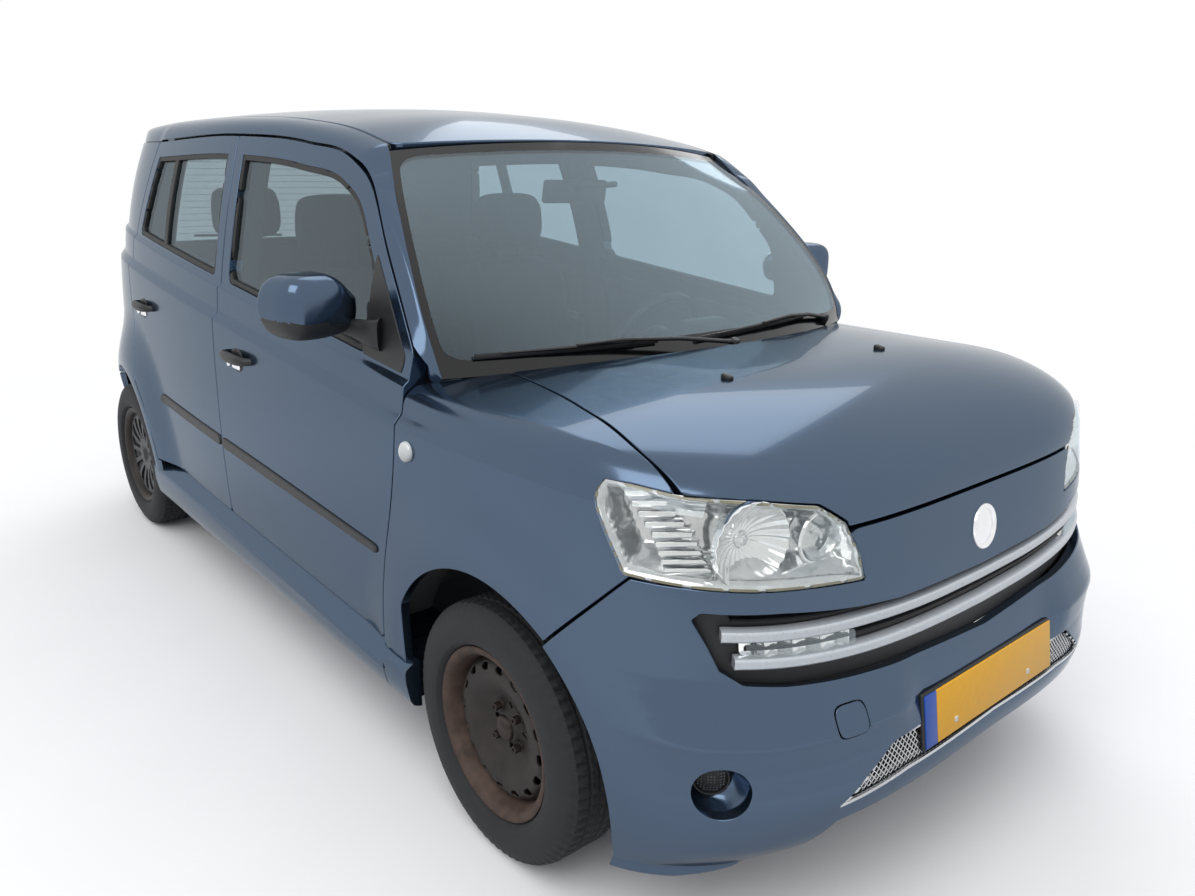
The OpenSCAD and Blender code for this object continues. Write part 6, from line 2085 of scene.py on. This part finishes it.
def pillow(profile_side, half_width, seams, crown, n=28):
    """A stuffed piece: a closed side profile swept across, puffed out and pulled in along the seams."""
    profile = np.asarray(profile_side, float)
    ring = np.concatenate([profile, profile[:1]])
    length = np.concatenate([[0], np.cumsum(np.linalg.norm(np.diff(ring, axis=0), axis=1))])
    at = np.linspace(0, length[-1], 73)[:-1]
    loop = np.stack([np.interp(at, length, ring[:, k]) for k in range(2)], -1)
    for _ in range(3):
        loop = 0.5 * loop + 0.25 * (np.roll(loop, 1, 0) + np.roll(loop, -1, 0))
    ahead = np.roll(loop, -1, 0) - np.roll(loop, 1, 0)
    normal = unit(np.stack([ahead[:, 1], -ahead[:, 0]], -1))
    middle = loop.mean(0)
    if ((loop - middle) * normal).sum() < 0:
        normal = -normal
    sections = []
    for f in np.linspace(-1, 1, n * 2 + 1):
        y = half_width * math.copysign(abs(f) ** 0.85, f)
        edge = (1 - abs(f) ** 5) ** 0.5 if abs(f) < 1 else 0.0
        pull = sum(math.exp(-(((y - s) / SEAM_WIDE) ** 2)) for s in seams)
        grow = crown * (1 - f * f) - SEAM_DEEP * pull
        points = middle + (loop - middle) * lerp(PILLOW_END, 1.0, edge) + normal * grow
        sections.append(stack(points[:, 0], y, points[:, 1]))
    return loft(sections)


CUSHION = [
    (-10, 455), (60, 425), (300, 432), (455, 455), (492, 500), (478, 540), (440, 560), (300, 548), (120, 532),
    (10, 540), (-30, 520),
]
BACK = [
    (-18, 512), (30, 552), (-20, 640), (-62, 800), (-104, 960), (-128, 1080), (-160, 1118), (-200, 1116),
    (-226, 1078), (-204, 900), (-158, 680), (-120, 520), (-70, 488),
]
HEAD = [
    (-140, 1180), (-128, 1230), (-138, 1310), (-172, 1348), (-206, 1345), (-228, 1300), (-236, 1220), (-220, 1170),
    (-180, 1158),
]


def seat_pieces(tag, origin_x, y0, half, cushion_stretch, head_ys, head_half, seams):
    place = np.array([origin_x, y0, 0.0])
    stretch = [(x * cushion_stretch if x > 0 else x, z) for x, z in CUSHION]
    pieces = [
        (f"{tag}_cushion", pillow(stretch, half, seams, 6.0), 0.8),
        (f"{tag}_backrest", pillow(BACK, half * 0.97, seams, 6.0), 0.8),
    ]
    for k, y in enumerate(head_ys):
        rest = pillow(HEAD, head_half, [], 8.0, 18).moved(lambda p, y=y: p + np.array([0, y, 0.0]))
        pieces.append((f"{tag}_headrest_{k + 1}", rest, 0.9))
    for name, solid, fill in pieces:
        piece = build(name, solid.moved(lambda p: p + place), "body", [FABRIC], slot="fabric", angle=80)
    rods = Solid()
    for y in head_ys:
        for s in (-50, 50):
            rods.join(
                tube(np.array([[-172, y + s, 1060], [-176, y + s, 1120], [-180, y + s, 1190]]) + place, 6.0, 10)
            )
    base = block(
        (cushion_stretch * 430, 2 * half - 60, 120),
        place + np.array([cushion_stretch * 225, 0, 372.0 if cushion_stretch < 1 else 340.0]), 14, 3,
    )
    return build(f"{tag}_frame", rods.join(base), "body", [BLACK], slot="trim")


FRONT_SEAT = (243.0, 1.0, [0.0], 132.0, [-150, 150])
BENCH = (528.0, 0.9, [-330.0, 330.0], 126.0, [-380, -180, 0, 180, 380])
left_frame = seat_pieces("front_seat_left", -180.0, 350.0, *FRONT_SEAT)
seat_pieces("front_seat_right", -180.0, -350.0, *FRONT_SEAT)
bench_frame = seat_pieces("rear_bench", -1040.0, 0.0, *BENCH)
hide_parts("front_seats")
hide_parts("rear_seat")


# Dashboard and steering wheel
def dash_solid():
    prof = [
        (965, 700), (965, 952), (900, 964), (860, 966), (790, 965), (735, 958), (690, 946), (655, 928), (634, 905),
        (622, 880), (628, 850), (640, 810), (648, 770), (668, 722), (720, 690), (800, 652), (900, 642),
    ]
    ys = np.concatenate([[-632, -626], np.linspace(-610, 610, 41), [626, 632]])
    sections = []
    for y in ys:
        dent = 10 * math.exp(-((abs(y) - 350) / 130) ** 2)
        hood_lift = 30 * math.exp(-(((y - 350) / 150) ** 4))
        shrink = 0.985 if abs(y) > 630 else 1.0
        row = []
        for x, z in prof:
            lift = hood_lift * math.exp(-(((x - 700) / 90) ** 2)) * (z > 900)
            row.append(((x - 800) * shrink + 800 - dent * (x < 690), y, z + lift))
        sections.append(row)
    solid = loft(sections)
    return solid.join(block((190, 230, 400), (780, 0, 465), 20, 4))


DASH = finish_of("dash_plastic", srgb("494d52"), rough=0.7, spread_by=0.1, bump=0.4, bump_grain=600.0)
build("dashboard", dash_solid(), "body", [DASH], slot="trim", nodes=["dashboard"], angle=50)
details = Solid()
for y in (-520, -90, 90, 560):
    details.join(
        revolve([(0.5, -4), (34, -4), (40, 2), (44, 3), (46, 0), (46, -12)], (626, y, 872), (-1, 0, 0.12), 36)
    )
details.join(block((14, 210, 130), (632, 0, 770), 5, 3, turned("Y", 8)))
details.join(block((60, 190, 60), (668, 350, 985), 16, 3))
build("dash_vents", details, "body", [BLACK], slot="trim")
WHEEL_POS = np.array([460.0, 350.0, 905.0])
WHEEL_R = 175
WHEEL_TUBE = 15
COLUMN = np.array([math.cos(math.radians(25)), 0.0, -math.sin(math.radians(25))])


def steering_solid():
    axis, e1, e2 = frame_of(COLUMN)
    q = np.linspace(0, 2 * math.pi, 97)[:-1]
    rings = []
    for a in np.concatenate([q, q[:1]]):
        out = math.cos(a) * e1 + math.sin(a) * e2
        t = np.linspace(0, 2 * math.pi, 17)[:-1]
        section = np.cos(t)[:, None] * out + np.sin(t)[:, None] * axis
        rings.append(WHEEL_POS + out * WHEEL_R + WHEEL_TUBE * section)
    solid = loft(rings, caps=False)
    solid.join(revolve([(0.5, -28), (38, -27), (58, -20), (65, -8), (64, 20), (40, 28)], WHEEL_POS, axis, 48))
    for turn_by in (0, 180, 270):
        a = math.radians(turn_by)
        out = math.cos(a) * e1 + math.sin(a) * e2
        path = np.stack([WHEEL_POS + out * r + axis * d for r, d in ((50, -2), (90, 2), (130, 2), (172, 0))])
        solid.join(tube(path, [20, 16, 15, 17], 14, flat=0.6))
    solid.join(tube(np.stack([WHEEL_POS + axis * 10, WHEEL_POS + axis * 120, WHEEL_POS + axis * 228]), 19, 24))
    return solid


build("steering_wheel_rim", steering_solid(), "steering", [BLACK], slot="trim", nodes=["steering_wheel"], angle=60)

# Interior mirror
glass_top = screen_point(np.array([0.0]), np.array([0.8]), 12.0)[0]
back_mirror = block((22, 230, 66), (470, 0, 1390), 10, 4, turned("Y", 10))
mirror_ball = np.array([476.0, 0, 1398])
back_mirror.join(tube(np.stack([glass_top, lerp(glass_top, mirror_ball, 0.5), mirror_ball]), 8, 12))
build("interior_mirror", back_mirror, "body", [BLACK], slot="trim", angle=50)

# Posts between the doors and behind the wings, and the roof lining
def centre_post():
    sections = []
    for z in np.linspace(346, 1536, 30):
        x = float(b_edge(z))
        t = lerp(DOOR_T, FRAME_T, float(smooth((z - float(belt_z(x)) + 14) / 24)))
        y = float(side_y(x, z)) - t - 11
        ring = [(-42, 0), (42, 0), (38, 44), (26, 54), (-26, 54), (-38, 44)]
        sections.append([(x + along, -y + deep, z) for along, deep in ring])
    return loft(sections)


pair("centre_post_{}", centre_post(), "body", [INNER], slot="trim", angle=30)
hinge_rows = []
for z in (508, 525, 545, 570, 600, 700, 952):
    front = min(958.0, FRONT_AXLE - math.sqrt(max(0.0, (ARCH_R + 14) ** 2 - (z - AXLE_Z) ** 2)))
    hinge_rows.append([(872, -752, z), (front, -738, z), (front, -640, z), (872, -640, z)])
pair("hinge_post_{}", loft(hinge_rows), "body", [BLACK], slot="trim", angle=30)
headliner = patch(
    lambda k, i: roof_surface(k * 0.97, 0.4 + i * 0.93) - np.array([0, 0, 34.0]), spread(-1, 1, 30),
    spread(0, 10, 30), lambda p: np.full(len(p), 50.0), 8.0, edge=0,
)
LINER = finish_of("headliner", srgb("8f9090"), rough=0.9, spread_by=0.06, bump=0.4, bump_grain=900.0)
build("headliner", headliner, "body", [LINER], slot="fabric")

# Finishes of the solids that stay
SHEET = finish_of(
    "underbody_sheet", srgb("2e3033"), rough=0.7, metal=0.2, spread_by=0.25, grain=12.0, bump=0.3, bump_grain=150.0,
)
KEPT = {
    "floor_pan": SHEET, "front_carrier": SHEET, "engine": ALLOY, "front_subframe": IRON, "rear_axle": IRON,
    "exhaust": ALLOY, "fuel_tank": BLACK, "knuckle_left": IRON, "knuckle_right": IRON,
}
for name, mat in KEPT.items():
    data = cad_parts[name].data
    data.materials.clear()
    data.materials.append(mat)


# Floor, light and camera
FLOOR_PALE = [0.87, 0.87, 0.88]
# Floor colour for the light bounced onto the car: painted shade that darkens the car's lower sides and underside
FLOOR_BOUNCE_SHADE = (0.11, 0.114, 0.118, 1)
SKY_WAY = (0.0, -0.25, 0.968)
FLOOR_HALF = 30
WHITE = (1, 1, 1, 1)
FADE_FROM = 3.0
FADE_TO = 5.2
SKY = [
    (0.0, (0.18, 0.235, 0.325)), (0.14, (0.22, 0.275, 0.365)), (0.27, (0.36, 0.42, 0.51)),
    (0.36, (0.82, 0.86, 0.92)), (0.45, (1.0, 1.0, 1.0)),
]
LAMPS = [("key", (3.0, -4.0, 6.0), 210.0), ("fill", (-3.0, 4.0, 6.0), 132.0)]
LAMP_SIZE = 5.0
LAMP_AIM = (0, 0, 0.8)


def rays_that_see(tree):
    """Camera, glossy and transmission rays see the white background; the light on the object comes from what the
    other rays see.
    """
    path = node(tree, "LightPath")
    seen = path.outputs["Is Camera Ray"]
    for kind in ("Is Glossy Ray", "Is Transmission Ray"):
        either = node(tree, "Math", links=[(0, seen), (1, path.outputs[kind])], operation="MAXIMUM")
        seen = either.outputs["Value"]
    return seen


def stage_floor():
    """Pale floor that keeps the shadow and fades to the white of the backdrop; for the light it bounces onto the
    car it is dark, a painted shade on the car's lower sides and underside.
    """
    floor_mat = finish_of("floor", FLOOR_PALE, rough=0.8, spread_by=0.008, grain=3.0)
    tree = floor_mat.node_tree
    shader = tree.nodes["Principled BSDF"]
    white = node(tree, "Emission", [("Color", WHITE), ("Strength", 1.0)])
    where = node(tree, "TexCoord").outputs["Object"]
    reach = node(tree, "VectorMath", links=[(0, where)], operation="LENGTH").outputs["Value"]
    limits = [("From Min", FADE_FROM), ("From Max", FADE_TO)]
    fade = node(tree, "MapRange", limits, [("Value", reach)], interpolation_type="SMOOTHSTEP").outputs["Result"]
    parts = [("Fac", fade), (1, shader.outputs["BSDF"]), (2, white.outputs["Emission"])]
    seen = node(tree, "MixShader", links=parts).outputs["Shader"]
    # For the light it bounces onto the car the floor is dark: painted shade on the car's lower sides and underside
    bounce_shade = node(tree, "BsdfDiffuse", [("Color", FLOOR_BOUNCE_SHADE)]).outputs["BSDF"]
    pick = node(tree, "MixShader", links=[("Fac", rays_that_see(tree)), (1, bounce_shade), (2, seen)])
    tree.links.new(pick.outputs["Shader"], tree.nodes["Material Output"].inputs["Surface"])
    mesh = bpy.data.meshes.new("floor")
    corners = [(-1, -1), (1, -1), (1, 1), (-1, 1)]
    mesh.from_pydata([(FLOOR_HALF * x, FLOOR_HALF * y, 0) for x, y in corners], [], [(0, 1, 2, 3)])
    mesh.materials.append(floor_mat)
    floor = bpy.data.objects.new("floor", mesh)
    bpy.context.scene.collection.objects.link(floor)


def stage_world():
    """Soft sky, brighter overhead, as light; the camera, polished metal and glass see plain white."""
    world = bpy.data.worlds.new("studio")
    bpy.context.scene.world = world
    world.use_nodes = True
    tree = world.node_tree
    ground = tree.nodes["Background"]
    ground.inputs["Strength"].default_value = 1.0
    where = node(tree, "TexCoord").outputs["Generated"]
    height = node(tree, "VectorMath", [(1, SKY_WAY)], [(0, where)], operation="DOT_PRODUCT").outputs["Value"]
    shade = node(tree, "ValToRGB", links=[("Fac", height)])
    while len(shade.color_ramp.elements) < len(SKY):
        shade.color_ramp.elements.new(0.5)
    for stop, (place, colour) in zip(shade.color_ramp.elements, SKY):
        stop.position = place
        stop.color = (*colour, 1)
    tree.links.new(shade.outputs["Color"], ground.inputs["Color"])
    white = node(tree, "Background", [("Color", WHITE)]).outputs["Background"]
    sky = ground.outputs["Background"]
    mix = node(tree, "MixShader", links=[("Fac", rays_that_see(tree)), (1, sky), (2, white)])
    tree.links.new(mix.outputs["Shader"], tree.nodes["World Output"].inputs["Surface"])


def stage_lamps():
    for name, place, power in LAMPS:
        data = bpy.data.lights.new(name, "AREA")
        data.size = LAMP_SIZE
        data.energy = power
        lamp = bpy.data.objects.new(name, data)
        lamp.location = place
        lamp.rotation_euler = (Vector(LAMP_AIM) - Vector(place)).to_track_quat("-Z", "Y").to_euler()
        bpy.context.scene.collection.objects.link(lamp)


CAMERA_PLACE = (2.684, -1.7993, 1.473)
CAMERA_YAW = 139.298
CAMERA_PITCH = -16.805
CAMERA_ROLL = 1.089
CAMERA_LENS = 28.52
CAMERA_SENSOR = 36


def set_camera():
    yaw, pitch, roll = (math.radians(v) for v in (CAMERA_YAW, CAMERA_PITCH, CAMERA_ROLL))
    ahead = Vector((math.cos(yaw) * math.cos(pitch), math.sin(yaw) * math.cos(pitch), math.sin(pitch)))
    right = Vector((math.sin(yaw), -math.cos(yaw), 0))
    up = right.cross(ahead)
    across = right * math.cos(roll) + up * math.sin(roll)
    upright = up * math.cos(roll) - right * math.sin(roll)
    turn = Matrix((across, upright, -ahead)).transposed().to_4x4()
    data = bpy.data.cameras.new("camera")
    data.lens = CAMERA_LENS
    data.sensor_width = CAMERA_SENSOR
    camera = bpy.data.objects.new("camera", data)
    camera.matrix_world = Matrix.Translation(CAMERA_PLACE) @ turn
    bpy.context.scene.collection.objects.link(camera)
    bpy.context.scene.camera = camera


stage_floor()
stage_world()
stage_lamps()
set_camera()
bpy.context.scene.view_settings.view_transform = "Standard"
bpy.context.view_layer.update()
